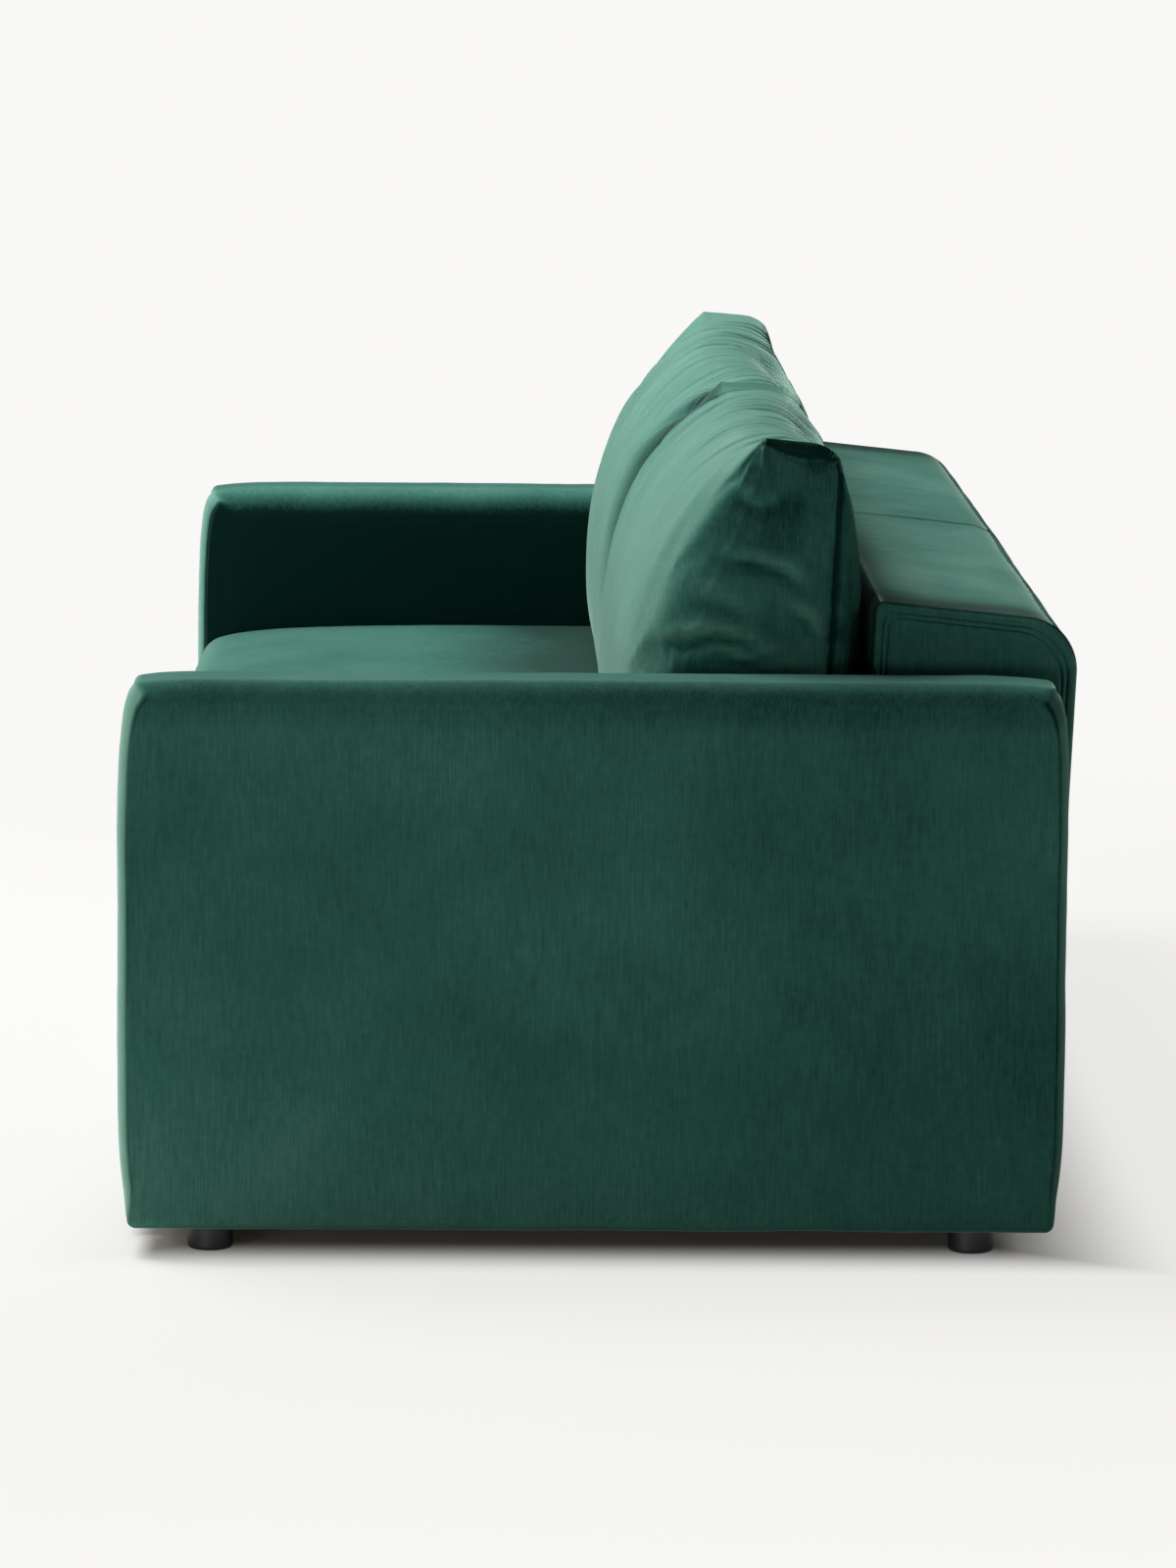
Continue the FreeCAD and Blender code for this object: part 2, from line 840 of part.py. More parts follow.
# Back, drawn upright about its pivot (Y = 0, Z = 0) and then leaned back into place

def placed_back(shape):
    leaned = shape.copy()
    leaned.rotate(Vector(0, 0, 0), Vector(1, 0, 0), -back_rake)
    leaned.translate(Vector(0, pivot_y, pivot_z))
    return leaned


def back_outline(x, inset):
    front = -pivot_setback + inset
    rear = back_rear - inset
    top = back_above_pivot - inset
    rear_top = top - back_top_fall
    low = -back_below_pivot + inset
    r_front = back_front_radius
    r_top = back_top_rear_radius
    r_rear = back_bottom_rear_radius
    r_low = back_bottom_front_radius
    runs = [
        ((front, top - r_front),),
        (on_circle(front + r_front, top - r_front, r_front, 135), (front + r_front, top)),
        ((rear - r_top, rear_top),),
        (on_circle(rear - r_top, rear_top - r_top, r_top, 45), (rear, rear_top - r_top)),
        ((rear, low + r_rear),),
        (on_circle(rear - r_rear, low + r_rear, r_rear, -45), (rear - r_rear, low)),
        ((front + r_low, low),),
        (on_circle(front + r_low, low + r_low, r_low, 225), (front, low + r_low)),
    ]
    return outline(x, (front, low + r_low), runs)


back_core_x = back_half - back_end_wall
back_core_front = -pivot_setback + back_front_foam
back_core_rear = back_rear - back_rear_foam
back_core_low = -back_below_pivot + back_bottom_foam
back_core_high = back_above_pivot - back_top_foam
timber_front = back_core_front + sliding_fit + webbing_thickness
timber_rear = back_core_rear - sliding_fit
timber_low = back_core_low + sliding_fit
timber_high = back_core_high - sliding_fit
timber_x = back_core_x - sliding_fit
lower_chamfer = back_bottom_rear_radius - back_bottom_foam


def back_core_prism(x0, x1, front, rear, low, high):
    """The back's inside, with its lower rear corner cut off to follow the rounded padding."""
    runs = [
        ((rear - lower_chamfer, low),),
        ((rear, low + lower_chamfer),),
        ((rear, high),),
        ((front, high),),
        ((front, low),),
    ]
    return prism(x0, x1, (front, low), runs)


def plate_screw_places():
    vs = (plate_screw_front, plate_rear - plate_screw_inset)
    us = (-plate_half_height + plate_screw_inset, plate_half_height - plate_screw_inset)
    return [(v, u) for v in vs for u in us]


def plate_screw_rods(x0, x1, clearance):
    size = plate_screw_diameter + 2 * clearance
    return [rod_x(size, x0, x1, v, u) for v, u in plate_screw_places()]


def make_back_upholstery():
    drawn = back_half - back_draw_width
    seam = back_seam_width / 2
    half = [(back_half, back_draw_in), (drawn, 0), (seam, 0), (0, back_seam_depth)]
    sections = half + [(-x, inset) for x, inset in reversed(half[:-1])]
    block = Part.makeLoft([back_outline(x, inset) for x, inset in sections], True, True)
    limits = (back_core_front, back_core_rear, back_core_low, back_core_high)
    hollow = back_core_prism(-back_core_x, back_core_x, *limits)
    reach = (back_core_x - hole_relief, back_half + hole_relief)
    tools = plate_screw_rods(*reach, hole_relief)
    relief_x = back_half - bush_length - bush_relief
    tools.append(rod_x(bush_flange_diameter + bush_relief, relief_x, back_half + hole_relief, 0, 0))
    return placed_back(cut_all(block, [hollow] + both_sides(tools)))


def make_back_frame():
    core = back_core_prism(-timber_x, timber_x, timber_front, timber_rear, timber_low, timber_high)
    depth = (timber_front, timber_rear)
    inside = timber_x - back_post_thickness
    half = back_post_thickness / 2
    rail_low = timber_low + back_rail_height
    rail_high = timber_high - back_rail_height
    posts = [box(inside, timber_x, *depth, timber_low, timber_high)]
    posts += [box(-timber_x, -inside, *depth, timber_low, timber_high)]
    for bay in range(1, back_bays):
        x = -timber_x + 2 * timber_x * bay / back_bays
        posts.append(box(x - half, x + half, *depth, rail_low, rail_high))
    rails = [box(-inside, inside, *depth, timber_low, rail_low)]
    rails += [box(-inside, inside, *depth, rail_high, timber_high)]
    tip = back_half + plate_thickness - plate_screw_length - hole_relief
    tools = both_sides(plate_screw_rods(tip, back_half, bolt_fit))
    return [placed_back(cut_all(member.common(core), tools)) for member in posts + rails]


def make_back_webbing():
    strips = []
    pitch = (timber_high - timber_low) / webbing_count
    front = timber_front - webbing_thickness
    for i in range(webbing_count):
        middle = timber_low + pitch * (i + 0.5)
        band = (middle - webbing_width / 2, middle + webbing_width / 2)
        strips.append(placed_back(box(-timber_x, timber_x, front, timber_front, *band)))
    return strips


# Fold pivot

def countersunk_screw(face_x, length, y, z):
    """A flat-headed screw along X, its head flush with the face; a negative length points to -X."""
    way = math.copysign(1, length)
    axis = Vector(way, 0, 0)
    start = Vector(face_x, y, z)
    radius = plate_screw_diameter / 2
    head = Part.makeCone(plate_screw_head_diameter / 2, radius, plate_screw_head_height, start, axis)
    shank = Part.makeCylinder(radius, abs(length), start, axis)
    return head.fuse(shank).removeSplitter()


def countersink(face_x, way, y, z):
    big = plate_screw_head_diameter / 2 + bolt_fit
    small = plate_screw_diameter / 2 + bolt_fit
    return Part.makeCone(big, small, plate_screw_head_height, Vector(face_x, y, z), Vector(way, 0, 0))


plate_face_x = back_half + plate_thickness
bracket_face_x = inner_x - plate_thickness


def make_back_plate():
    limits = (-plate_front, plate_rear, -plate_half_height, plate_half_height)
    plate = rounded_plate(back_half, plate_face_x, *limits, plate_corner_radius)
    tools = [rod_x(bush_outside + 2 * running_fit, back_half, plate_face_x, 0, 0)]
    tools += plate_screw_rods(back_half, plate_face_x, bolt_fit)
    tools += [countersink(plate_face_x, -1, v, u) for v, u in plate_screw_places()]
    return placed_back(cut_all(plate, tools + [stop_slot()]))


def stop_slot():
    """An arc slot about the pivot that lets the back turn from upright to flat past the stop pin."""
    half = stop_pin_diameter / 2 + stop_play
    start = stop_start_angle
    end = start + 90 - back_rake
    middle = (start + end) / 2
    inside = stop_radius - half
    outside = stop_radius + half
    start_tip = on_circle(*on_circle(0, 0, stop_radius, start), half, start - 90)
    end_tip = on_circle(*on_circle(0, 0, stop_radius, end), half, end + 90)
    runs = [
        (on_circle(0, 0, outside, middle), on_circle(0, 0, outside, end)),
        (end_tip, on_circle(0, 0, inside, end)),
        (on_circle(0, 0, inside, middle), on_circle(0, 0, inside, start)),
        (start_tip, on_circle(0, 0, outside, start)),
    ]
    return prism(back_half - hole_relief, plate_face_x + hole_relief, on_circle(0, 0, outside, start), runs)


bush_bore = pivot_pin_diameter + 2 * running_fit
bush_outside = bush_bore + 2 * bush_wall


def make_pivot_bush():
    x0 = plate_face_x - bush_length
    sleeve = rod_x(bush_outside, x0, plate_face_x, 0, 0)
    flange = rod_x(bush_flange_diameter, back_half - bush_flange_thickness, back_half, 0, 0)
    return placed_back(sleeve.fuse(flange).removeSplitter().cut(rod_x(bush_bore, x0, plate_face_x, 0, 0)))


def make_back_plate_screws():
    screws = [countersunk_screw(plate_face_x, -plate_screw_length, v, u) for v, u in plate_screw_places()]
    return [placed_back(screw) for screw in both_sides(screws)]


def make_pivot_bracket():
    ys = (pivot_y - bracket_front, pivot_y + bracket_rear)
    zs = (pivot_z - bracket_below, pivot_z + bracket_above)
    plate = rounded_plate(bracket_face_x, inner_x, *ys, *zs, plate_corner_radius)
    tools = bracket_screw_holes(bracket_face_x, inner_x, bolt_fit)
    tools += [countersink(bracket_face_x, 1, y, z) for y, z in bracket_screw_places()]
    return cut_all(plate, tools + pin_holes(bracket_face_x, inner_x, running_fit))


def shoulder_pin(diameter, flange_diameter, tip_x, y, z):
    """A pin with a flange against the bracket, a spigot through it and a shank towards the back."""
    flange = rod_x(flange_diameter, plate_face_x + sliding_fit, bracket_face_x, y, z)
    shank = rod_x(diameter, tip_x, inner_x + pin_spigot_length, y, z)
    return flange.fuse(shank).removeSplitter()


def make_pivot_pins():
    pivot_tip = plate_face_x - bush_length
    stop_tip = back_half + sliding_fit
    return [
        shoulder_pin(pivot_pin_diameter, pivot_flange_diameter, pivot_tip, pivot_y, pivot_z),
        shoulder_pin(stop_pin_diameter, stop_flange_diameter, stop_tip, *stop_pin_place()),
    ]


def make_bracket_screws():
    places = bracket_screw_places()
    return both_sides([countersunk_screw(bracket_face_x, plate_screw_length, y, z) for y, z in places])


# Loose cushions

cushion_low = seat_height + sliding_fit
cushion_x0 = cushion_middle_gap / 2
cushion_x1 = inner_x - cushion_side_gap
cushion_rear_y = seat_level_face_y - cushion_back_gap - cushion_rear_crown


def cushion_outline(x, swell, wall):
    """The cushion's side outline; swell goes from 0 at its ends to 1 at its crown."""
    rear = cushion_rear_y + swell * cushion_rear_crown - wall
    low = cushion_low + wall
    front = cushion_rear_y - cushion_bottom_depth - cushion_front_lean - swell * cushion_front_crown + wall
    front_foot = front + cushion_front_lean
    belly = (front, cushion_low + cushion_front_bulge_height)
    top = cushion_low + cushion_height - cushion_top_rise - (1 - swell) * cushion_top_crown - wall
    top_rear = rear - cushion_top_setback
    top_front = top_rear - cushion_top_depth + 2 * wall
    rear_foot = rear - cushion_rear_tuck
    rear_belly = (rear, cushion_low + cushion_rear_bulge_height)
    bow = cushion_front_bow + swell * cushion_front_crown / 2
    slope = ((belly[0] + top_front) / 2 - bow, (belly[1] + top) / 2)
    foot_bow = (front + cushion_front_lean / 4, (belly[1] + low) / 2)
    runs = [
        ((rear_foot, low),),
        ((rear - cushion_rear_tuck / 3, (low + rear_belly[1]) / 2), rear_belly),
        ((rear - cushion_top_setback / 5, (rear_belly[1] + top) / 2 + wall), (top_rear, top)),
        (((top_rear + top_front) / 2, top + cushion_top_rise), (top_front, top)),
        (slope, belly),
        (foot_bow, (front_foot, low)),
    ]
    return outline(x, (front_foot, low), runs)


def cushion_solid(wall):
    """Sections along the width: drawn in at the ends, full over most of the length."""
    width = cushion_x1 - cushion_x0
    shoulder = cushion_shoulder_share * width
    shares = [(wall, 0), (cushion_draw, cushion_draw_swell)]
    shares += [(shoulder, cushion_shoulder_swell), (width / 2, 1)]
    shares += [(width - offset, swell) for offset, swell in reversed(shares[:-1])]
    wires = [cushion_outline(cushion_x0 + offset, swell, wall) for offset, swell in shares]
    return Part.makeLoft(wires, True, True)


def make_cushion_cover():
    return cushion_solid(0).cut(cushion_solid(cushion_wall))


def make_cushion_filling():
    return cushion_solid(cushion_wall + sliding_fit)


# Every node is written to its own file

os.makedirs("parts", exist_ok=True)

save_pair("arm_upholstery", make_arm_upholstery())
save_pair("arm_frame", *make_arm_frame())
save("arm_boards", *both_sides(make_arm_boards()))
save_pair("front_foot", make_arm_foot(foot_ys()[0]))
save_pair("rear_foot", make_arm_foot(foot_ys()[1]))
save("foot_studs", *make_studs())
save("centre_feet", *make_centre_feet())
save_pair("side_panel", make_side_panel())
for name, (y, height) in base_rails.items():
    save("base_" + name, make_base_rail(y, height))
save("base_centre_beam", *make_centre_beam())
save("base_floor", make_base_floor())
save("arm_bolts", *make_arm_bolts())
save("frame_screws", *make_frame_screws())
save_pair("runner", make_runner())
save("runner_screws", *make_runner_screws())

save("seat_upholstery", make_seat_upholstery())
save("seat_front_rail", make_seat_front_rail())
save("seat_rear_rail", make_seat_rear_rail())
save("seat_side_rails", *make_seat_side_rails())
save("seat_cross_rails", *make_seat_cross_rails())
save("seat_springs", *make_seat_springs())
save("seat_dust_cloth", make_dust_cloth())
save("apron_board", make_apron_board())
save("apron_cover", make_apron_cover())
save("castor_posts", *both_sides([make_castor_post()]))
save("castor_forks", *both_sides([make_castor_fork()]))
save("castor_axles", *both_sides([make_castor_axle()]))
save_pair("castor_wheel", make_castor_wheel())
save_pair("roller_bracket", make_roller_bracket())
save("roller_axles", *both_sides(make_roller_axles()))
for name, y in roller_ys.items():
    save_pair(name, make_roller(y))

save("back_upholstery", make_back_upholstery())
save("back_frame", *make_back_frame())
save("back_webbing", *make_back_webbing())
save_pair("back_plate", make_back_plate())
save("pivot_bushes", *both_sides([make_pivot_bush()]))
save("back_plate_screws", *make_back_plate_screws())
save_pair("pivot_bracket", make_pivot_bracket())
save("pivot_pins", *both_sides(make_pivot_pins()))
save("bracket_screws", *make_bracket_screws())

save_pair("cushion_cover", make_cushion_cover())
save_pair("cushion_filling", make_cushion_filling())

print("seat travel", round(seat_travel, 2), "mm; fold", 90 - back_rake, "degrees")
print("fold pivot at Y", round(pivot_y, 3), "Z", round(pivot_z, 3))
print("castor axle at Y", round(castor_axle_y, 3), "Z", castor_axle_z, "; roller Z", roller_z)
print("roller diameter", roller_diameter, "; roller Y", roller_ys)
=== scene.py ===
import json
import math

import bpy
import numpy as np
from mathutils import Matrix, Vector


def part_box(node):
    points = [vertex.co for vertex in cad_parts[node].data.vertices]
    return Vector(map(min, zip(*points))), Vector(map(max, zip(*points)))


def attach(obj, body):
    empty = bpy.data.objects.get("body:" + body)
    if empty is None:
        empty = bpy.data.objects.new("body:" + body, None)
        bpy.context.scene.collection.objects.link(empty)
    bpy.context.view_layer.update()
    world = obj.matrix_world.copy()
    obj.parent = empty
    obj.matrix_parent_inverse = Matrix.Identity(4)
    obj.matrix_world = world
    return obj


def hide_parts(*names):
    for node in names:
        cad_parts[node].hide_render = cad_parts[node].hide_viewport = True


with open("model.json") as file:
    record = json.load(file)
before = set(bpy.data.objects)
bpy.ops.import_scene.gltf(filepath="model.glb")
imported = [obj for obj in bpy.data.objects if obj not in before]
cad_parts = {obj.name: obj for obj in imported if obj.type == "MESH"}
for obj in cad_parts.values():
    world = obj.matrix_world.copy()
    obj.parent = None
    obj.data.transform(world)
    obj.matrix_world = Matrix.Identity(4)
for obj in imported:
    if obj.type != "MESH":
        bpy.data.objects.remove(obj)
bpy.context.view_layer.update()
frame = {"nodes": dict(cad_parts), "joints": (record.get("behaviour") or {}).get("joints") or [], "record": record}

# A velvet sofa bed around its packed construction. Sizes are millimetres and become metres in the meshes.
# +X is to the left of someone sitting in it, +Y to the rear, +Z up.
MM = 0.001


def node_box(node):
    low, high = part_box(node)
    return np.array(low) / MM, np.array(high) / MM


joints = {joint["name"]: joint for joint in frame["joints"]}


# Repeatable noise

def cell_value(cells, seed):
    """A number from 0 to 1 for each whole-numbered cell, the same in every run."""
    cells = cells.astype(np.uint32)
    mixed = cells[..., 0] * np.uint32(73856093) ^ cells[..., 1] * np.uint32(19349663)
    mixed = mixed ^ cells[..., 2] * np.uint32(83492791) ^ np.uint32(seed * 40503)
    mixed = (mixed ^ (mixed >> np.uint32(15))) * np.uint32(2246822519)
    mixed = (mixed ^ (mixed >> np.uint32(13))) * np.uint32(3266489917)
    return (mixed ^ (mixed >> np.uint32(16))).astype(np.float64) / 4294967295.0


def noise(points, size, seed):
    """Smooth noise from -1 to 1 with blotches of about that size."""
    scaled = points / np.asarray(size, float)
    cells = np.floor(scaled).astype(np.int64)
    part = scaled - cells
    part = part * part * (3 - 2 * part)
    total = 0
    for corner in np.ndindex(2, 2, 2):
        weight = np.prod(np.where(corner, part, 1 - part), axis=-1)
        total = total + weight * cell_value(cells + np.array(corner) + 4096, seed)
    return total * 2 - 1


def relief(points, shape, seed):
    """The heights of uneven cloth; shape is a height, the largest swells' size and a count of layers."""
    height, size, layers = shape
    total = 0
    for layer in range(layers):
        total = total + noise(points, np.asarray(size, float) / 2 ** layer, seed + layer) / 2 ** layer
    return height * total


def ramp(value, start, end):
    """A smooth step from 0 at start to 1 at end."""
    share = np.clip((value - start) / (end - start), 0, 1)
    return share * share * (3 - 2 * share)


def bump(value, centre, width):
    return np.exp(-((value - centre) / width) ** 2)


# Outlines in the YZ plane

def trace(start, runs, step=1.5):
    """A path of lines and quarter circles: a run is its end point, or (y, z, radius, middle's degrees)."""
    points = [start]
    for run in runs:
        if len(run) == 2:
            here, leg = np.array(points[-1]), np.subtract(run, points[-1])
            count = max(1, int(math.hypot(*leg) / step + 1e-9))
            points += [tuple(here + leg * k / count) for k in range(1, count + 1)]
        else:
            y, z, radius, degrees = run
            count = max(2, int(math.pi / 2 * radius / step))
            angles = np.radians(degrees - 45 + 90 * np.arange(1, count + 1) / count)
            points += [(y + radius * math.cos(angle), z + radius * math.sin(angle)) for angle in angles]
    return np.array(points[:-1] if math.dist(points[0], points[-1]) < 0.01 else points)


def on_curve(p0, p1, p2, p3, t):
    """The points between p1 and p2 on a smooth curve through all four."""
    return p1 + 0.5 * t * (p2 - p0 + t * (2 * p0 - 5 * p1 + 4 * p2 - p3 + t * (3 * (p1 - p2) + p3 - p0)))


def smooth_path(points, steps=24):
    """A closed curve through the points."""
    knots = np.array(points, float)
    before, after, beyond = np.roll(knots, 1, 0), np.roll(knots, -1, 0), np.roll(knots, -2, 0)
    t = np.arange(steps)[None, :, None] / steps
    return on_curve(*(p[:, None, :] for p in (before, knots, after, beyond)), t).reshape(-1, 2)


def smooth_run(points, steps=24):
    """An open curve through the points."""
    knots = np.array(points, float)
    first, last = 2 * knots[0] - knots[1], 2 * knots[-1] - knots[-2]
    closed = smooth_path(np.vstack([first, knots, last]), steps)
    return np.vstack([closed[steps:-2 * steps], knots[-1:]])


def spread(path, count, tightness, crowd=None):
    """count points along an open path, without its last one, closer together where it turns or is crowded."""
    legs = np.diff(path, axis=0)
    weight = np.hypot(legs[:, 0], legs[:, 1])
    if crowd is not None:
        weight = weight * crowd(path[:-1])
    heading = np.unwrap(np.arctan2(legs[:, 1], legs[:, 0]))
    turn = np.abs(np.diff(heading)) * tightness / 2
    weight[1:] += turn
    weight[:-1] += turn
    along = np.concatenate([[0], np.cumsum(weight)])
    wanted = np.linspace(0, along[-1], count + 1)[:-1]
    return np.stack([np.interp(wanted, along, path[:, k]) for k in (0, 1)], 1)


def four_sided(path, corners, across, up, tightness=25.0, crowd=None):
    """A loop that starts at the first corner, with a fixed count of points on each of its four sides."""
    cuts = [int(np.argmin(np.hypot(*(path - corner).T))) for corner in corners]
    path = np.roll(path, -cuts[0], axis=0)
    cuts = [(cut - cuts[0]) % len(path) for cut in cuts] + [len(path)]
    closed = np.vstack([path, path[:1]])
    sides = []
    for k, count in enumerate((across, up, across, up)):
        sides.append(spread(closed[cuts[k]:cuts[k + 1] + 1], count, tightness, crowd))
    return np.vstack(sides)


def shrunk(loop, inset):
    """The loop with each side moved in by the inset, which may differ from point to point."""
    low, high = loop.min(0), loop.max(0)
    middle, half = (low + high) / 2, (high - low) / 2
    inset = np.broadcast_to(np.asarray(inset, float), (len(loop),))[:, None]
    return middle + (loop - middle) * (1 - inset / half)


# Skins

CLOTH_FRAMES = 20
LONG_STATIONS = 150
LONG_ROLL_ANGLES = (90, 75, 62, 50, 40, 30, 20, 10, 0)


def sides_of(loop, across, up):
    """A loop's low and right sides, and its top and left ones turned round."""
    closed = np.concatenate([loop, loop[:1]])
    top_start, left_start = across + up, 2 * across + up
    top, left = closed[top_start:left_start + 1], closed[left_start:]
    return closed[:across + 1], closed[across:top_start + 1], top[::-1], left[::-1]


def end_patch(loop, across, up):
    """The points inside a four-sided loop, blended from its sides."""
    low, right, top, left = sides_of(loop, across, up)
    u = np.linspace(0, 1, across + 1)[:, None, None]
    v = np.linspace(0, 1, up + 1)[None, :, None]
    blended = (1 - v) * low[:, None] + v * top[:, None] + (1 - u) * left[None] + u * right[None]
    square = (1 - u) * (1 - v) * low[0] + u * (1 - v) * low[-1] + (1 - u) * v * top[0] + u * v * top[-1]
    return blended - square


def skin(name, xs, loops, across, up, swell=(0.0, 0.0)):
    """A closed skin through one loop at each X; swell is how far each end face stands out at its middle."""
    stations = len(xs)
    body = np.zeros((stations, 2 * (across + up), 3))
    body[:, :, 0] = np.asarray(xs)[:, None] if np.ndim(xs) == 1 else xs
    body[:, :, 1:] = loops
    u = np.linspace(0, 1, across + 1)[:, None]
    v = np.linspace(0, 1, up + 1)[None, :]
    dome = np.sqrt(16 * u * (1 - u) * v * (1 - v))
    patches = []
    for station, height in zip((0, stations - 1), swell):
        grid = end_patch(body[station], across, up)
        grid[:, :, 0] += height * dome
        patches.append(grid[1:-1, 1:-1].reshape(-1, 3))
    return joined(name, body, patches, across, up)


def joined(name, body, patches, across, up):
    """The mesh of a skin's loops and the points inside its two end faces."""
    stations, count = body.shape[:2]
    used = stations * count
    here = np.arange(used).reshape(stations, count)
    following = np.roll(here, -1, axis=1)
    faces = [np.stack([here[:-1], following[:-1], following[1:], here[1:]], -1).reshape(-1, 4)]
    for end, station in enumerate((0, stations - 1)):
        index = np.zeros((across + 1, up + 1), int)
        index[:, 0], index[across], index[:, up], index[0] = sides_of(here[station], across, up)
        inside = (across - 1) * (up - 1)
        index[1:-1, 1:-1] = used + np.arange(inside).reshape(across - 1, up - 1)
        used += inside
        quads = np.stack([index[:-1, :-1], index[1:, :-1], index[1:, 1:], index[:-1, 1:]], -1).reshape(-1, 4)
        faces.append(quads[:, ::-1] if end == 0 else quads)
    return mesh_piece(name, np.vstack([body.reshape(-1, 3), *patches]), np.vstack(faces))


def mesh_piece(name, points, faces):
    mesh = bpy.data.meshes.new(name)
    mesh.from_pydata((points * MM).tolist(), [], faces.tolist())
    mesh.polygons.foreach_set("use_smooth", np.ones(len(faces), bool))
    mesh.update()
    piece = bpy.data.objects.new(name, mesh)
    bpy.context.scene.collection.objects.link(piece)
    return piece


def vectors(items, key):
    flat = np.zeros(len(items) * 3, np.float32)
    items.foreach_get(key, flat)
    return flat.reshape(-1, 3).astype(float)


def points_of(piece):
    return vectors(piece.data.vertices, "co") / MM


def normals_of(piece):
    return vectors(piece.data.vertex_normals, "vector")


def set_points(piece, points):
    piece.data.vertices.foreach_set("co", (points * MM).astype(np.float32).ravel())
    piece.data.update()


def raise_points(piece, height):
    """Moves each point along its normal by a height in millimetres."""
    set_points(piece, points_of(piece) + normals_of(piece) * np.asarray(height)[:, None])


def set_painted_shading(piece, painted_shading_and_tone):
    """Painted light and shade at each point, with some random tone: below 0 the velvet is painted darker, above 0
    lighter.
    """
    attribute = piece.data.attributes.new("painted_shading_and_tone", "FLOAT", "POINT")
    attribute.data.foreach_set("value", np.asarray(painted_shading_and_tone, np.float32))


def light_and_shade_rows(rows, points, normals, **measures):
    """The painted light and shade of named rows (amount, {measure: (none, all)}), each fading in from none to all.
    """
    measures.update(y=points[:, 1], z=points[:, 2])
    measures.update(facing_x=np.abs(normals[:, 0]), facing_y=normals[:, 1], facing_z=normals[:, 2])
    painted_shading_and_tone = 0
    for amount, reaches in rows.values():
        share = 1
        for measure, reach in reaches.items():
            share = share * ramp(measures[measure], *reach)
        painted_shading_and_tone = painted_shading_and_tone + amount * share
    return painted_shading_and_tone


def inflate(piece, held, pressure, cap):
    """Swells the piece as cloth under pressure. No point moves further than the cap, held ones hardly."""
    scene = bpy.context.scene
    before = points_of(piece)
    group = piece.vertex_groups.new(name="held")
    for weight in np.unique(np.round(held, 1)):
        if weight > 0:
            group.add(np.flatnonzero(np.round(held, 1) == weight).tolist(), float(weight), "REPLACE")
    cloth = piece.modifiers.new("cloth", "CLOTH")
    cloth.settings.quality = 6
    cloth.settings.mass = 0.3
    cloth.settings.tension_stiffness = 18
    cloth.settings.compression_stiffness = 12
    cloth.settings.shear_stiffness = 8
    cloth.settings.bending_stiffness = 1.0
    cloth.settings.use_pressure = True
    cloth.settings.uniform_pressure_force = pressure
    cloth.settings.effector_weights.gravity = 0
    cloth.settings.vertex_group_mass = group.name
    cloth.point_cache.frame_start = 1
    cloth.point_cache.frame_end = CLOTH_FRAMES
    for number in range(1, CLOTH_FRAMES + 1):
        scene.frame_set(number)
    swollen = piece.evaluated_get(bpy.context.evaluated_depsgraph_get())
    move = vectors(swollen.data.vertices, "co") / MM - before
    length = np.linalg.norm(move, axis=1, keepdims=True)
    piece.modifiers.remove(cloth)
    piece.vertex_groups.remove(group)
    scene.frame_set(1)
    set_points(piece, before + move * np.minimum(1, cap / np.maximum(length, 1e-6)))


def between(body, places):
    """Loops at these fractions of the station numbers, on smooth curves through the stations' loops."""
    first = np.clip(places.astype(int), 0, len(body) - 2)
    before, beyond = body[np.maximum(first - 1, 0)], body[np.minimum(first + 2, len(body) - 1)]
    return on_curve(before, body[first], body[first + 1], beyond, (places - first)[:, None, None])


def open_bottom(piece, node, depth):
    """Lifts the skin's underside clear of the board or cloth that closes it, so that this one shows."""
    low, high = node_box(node)
    points = points_of(piece)
    under = (points[:, 2] < low[2] + 0.5)
    for axis in (0, 1):
        under &= (points[:, axis] > low[axis]) & (points[:, axis] < high[axis])
    points[under, 2] += depth
    set_points(piece, points)


def end_stations(end, radius, angles):
    """(x, inset) down a rolled edge, from the flat end to where the roll begins."""
    way = math.copysign(1, end)
    found = []
    for degrees in angles:
        angle = math.radians(degrees)
        found.append((end - way * radius * (1 - math.sin(angle)), radius * (1 - math.cos(angle))))
    return found


def long_stations(end, radius):
    """(x, inset) along a piece from -end to end, with the same roll at both ends."""
    inner = end - radius
    stations = end_stations(-end, radius, LONG_ROLL_ANGLES)
    stations += [(x, 0.0) for x in np.linspace(-inner, inner, LONG_STATIONS)[1:-1]]
    return stations + end_stations(end, radius, LONG_ROLL_ANGLES)[::-1]


def rolled_skin(name, stations, loop, across, up):
    """A skin whose loop is drawn in by each station's inset."""
    xs = np.array([x for x, _ in stations])
    loops = np.array([shrunk(loop, inset) for _, inset in stations])
    return skin(name, xs, loops, across, up)


# Materials

def new_material(name):
    material = bpy.data.materials.new(name)
    material.use_nodes = True
    tree = material.node_tree
    return material, tree, tree.nodes["Principled BSDF"]


def feed(tree, node, values):
    """Links sockets to a node's inputs, and sets numbers and colours on them."""
    for key, value in values.items():
        if isinstance(value, bpy.types.NodeSocket):
            tree.links.new(value, node.inputs[key])
        else:
            node.inputs[key].default_value = value


def add_node(tree, kind, output, values, **settings):
    """An output of a new node."""
    node = tree.nodes.new("ShaderNode" + kind)
    for setting, choice in settings.items():
        setattr(node, setting, choice)
    feed(tree, node, values)
    return node.outputs[output]


def noise_node(tree, scale, detail, stretch=None):
    """Noise in the object's own coordinates, in blotches per metre."""
    place = add_node(tree, "TexCoord", "Object", {})
    if stretch is not None:
        place = add_node(tree, "Mapping", "Vector", {"Vector": place, "Scale": stretch})
    return add_node(tree, "TexNoise", "Fac", {"Vector": place, "Scale": scale, "Detail": detail})


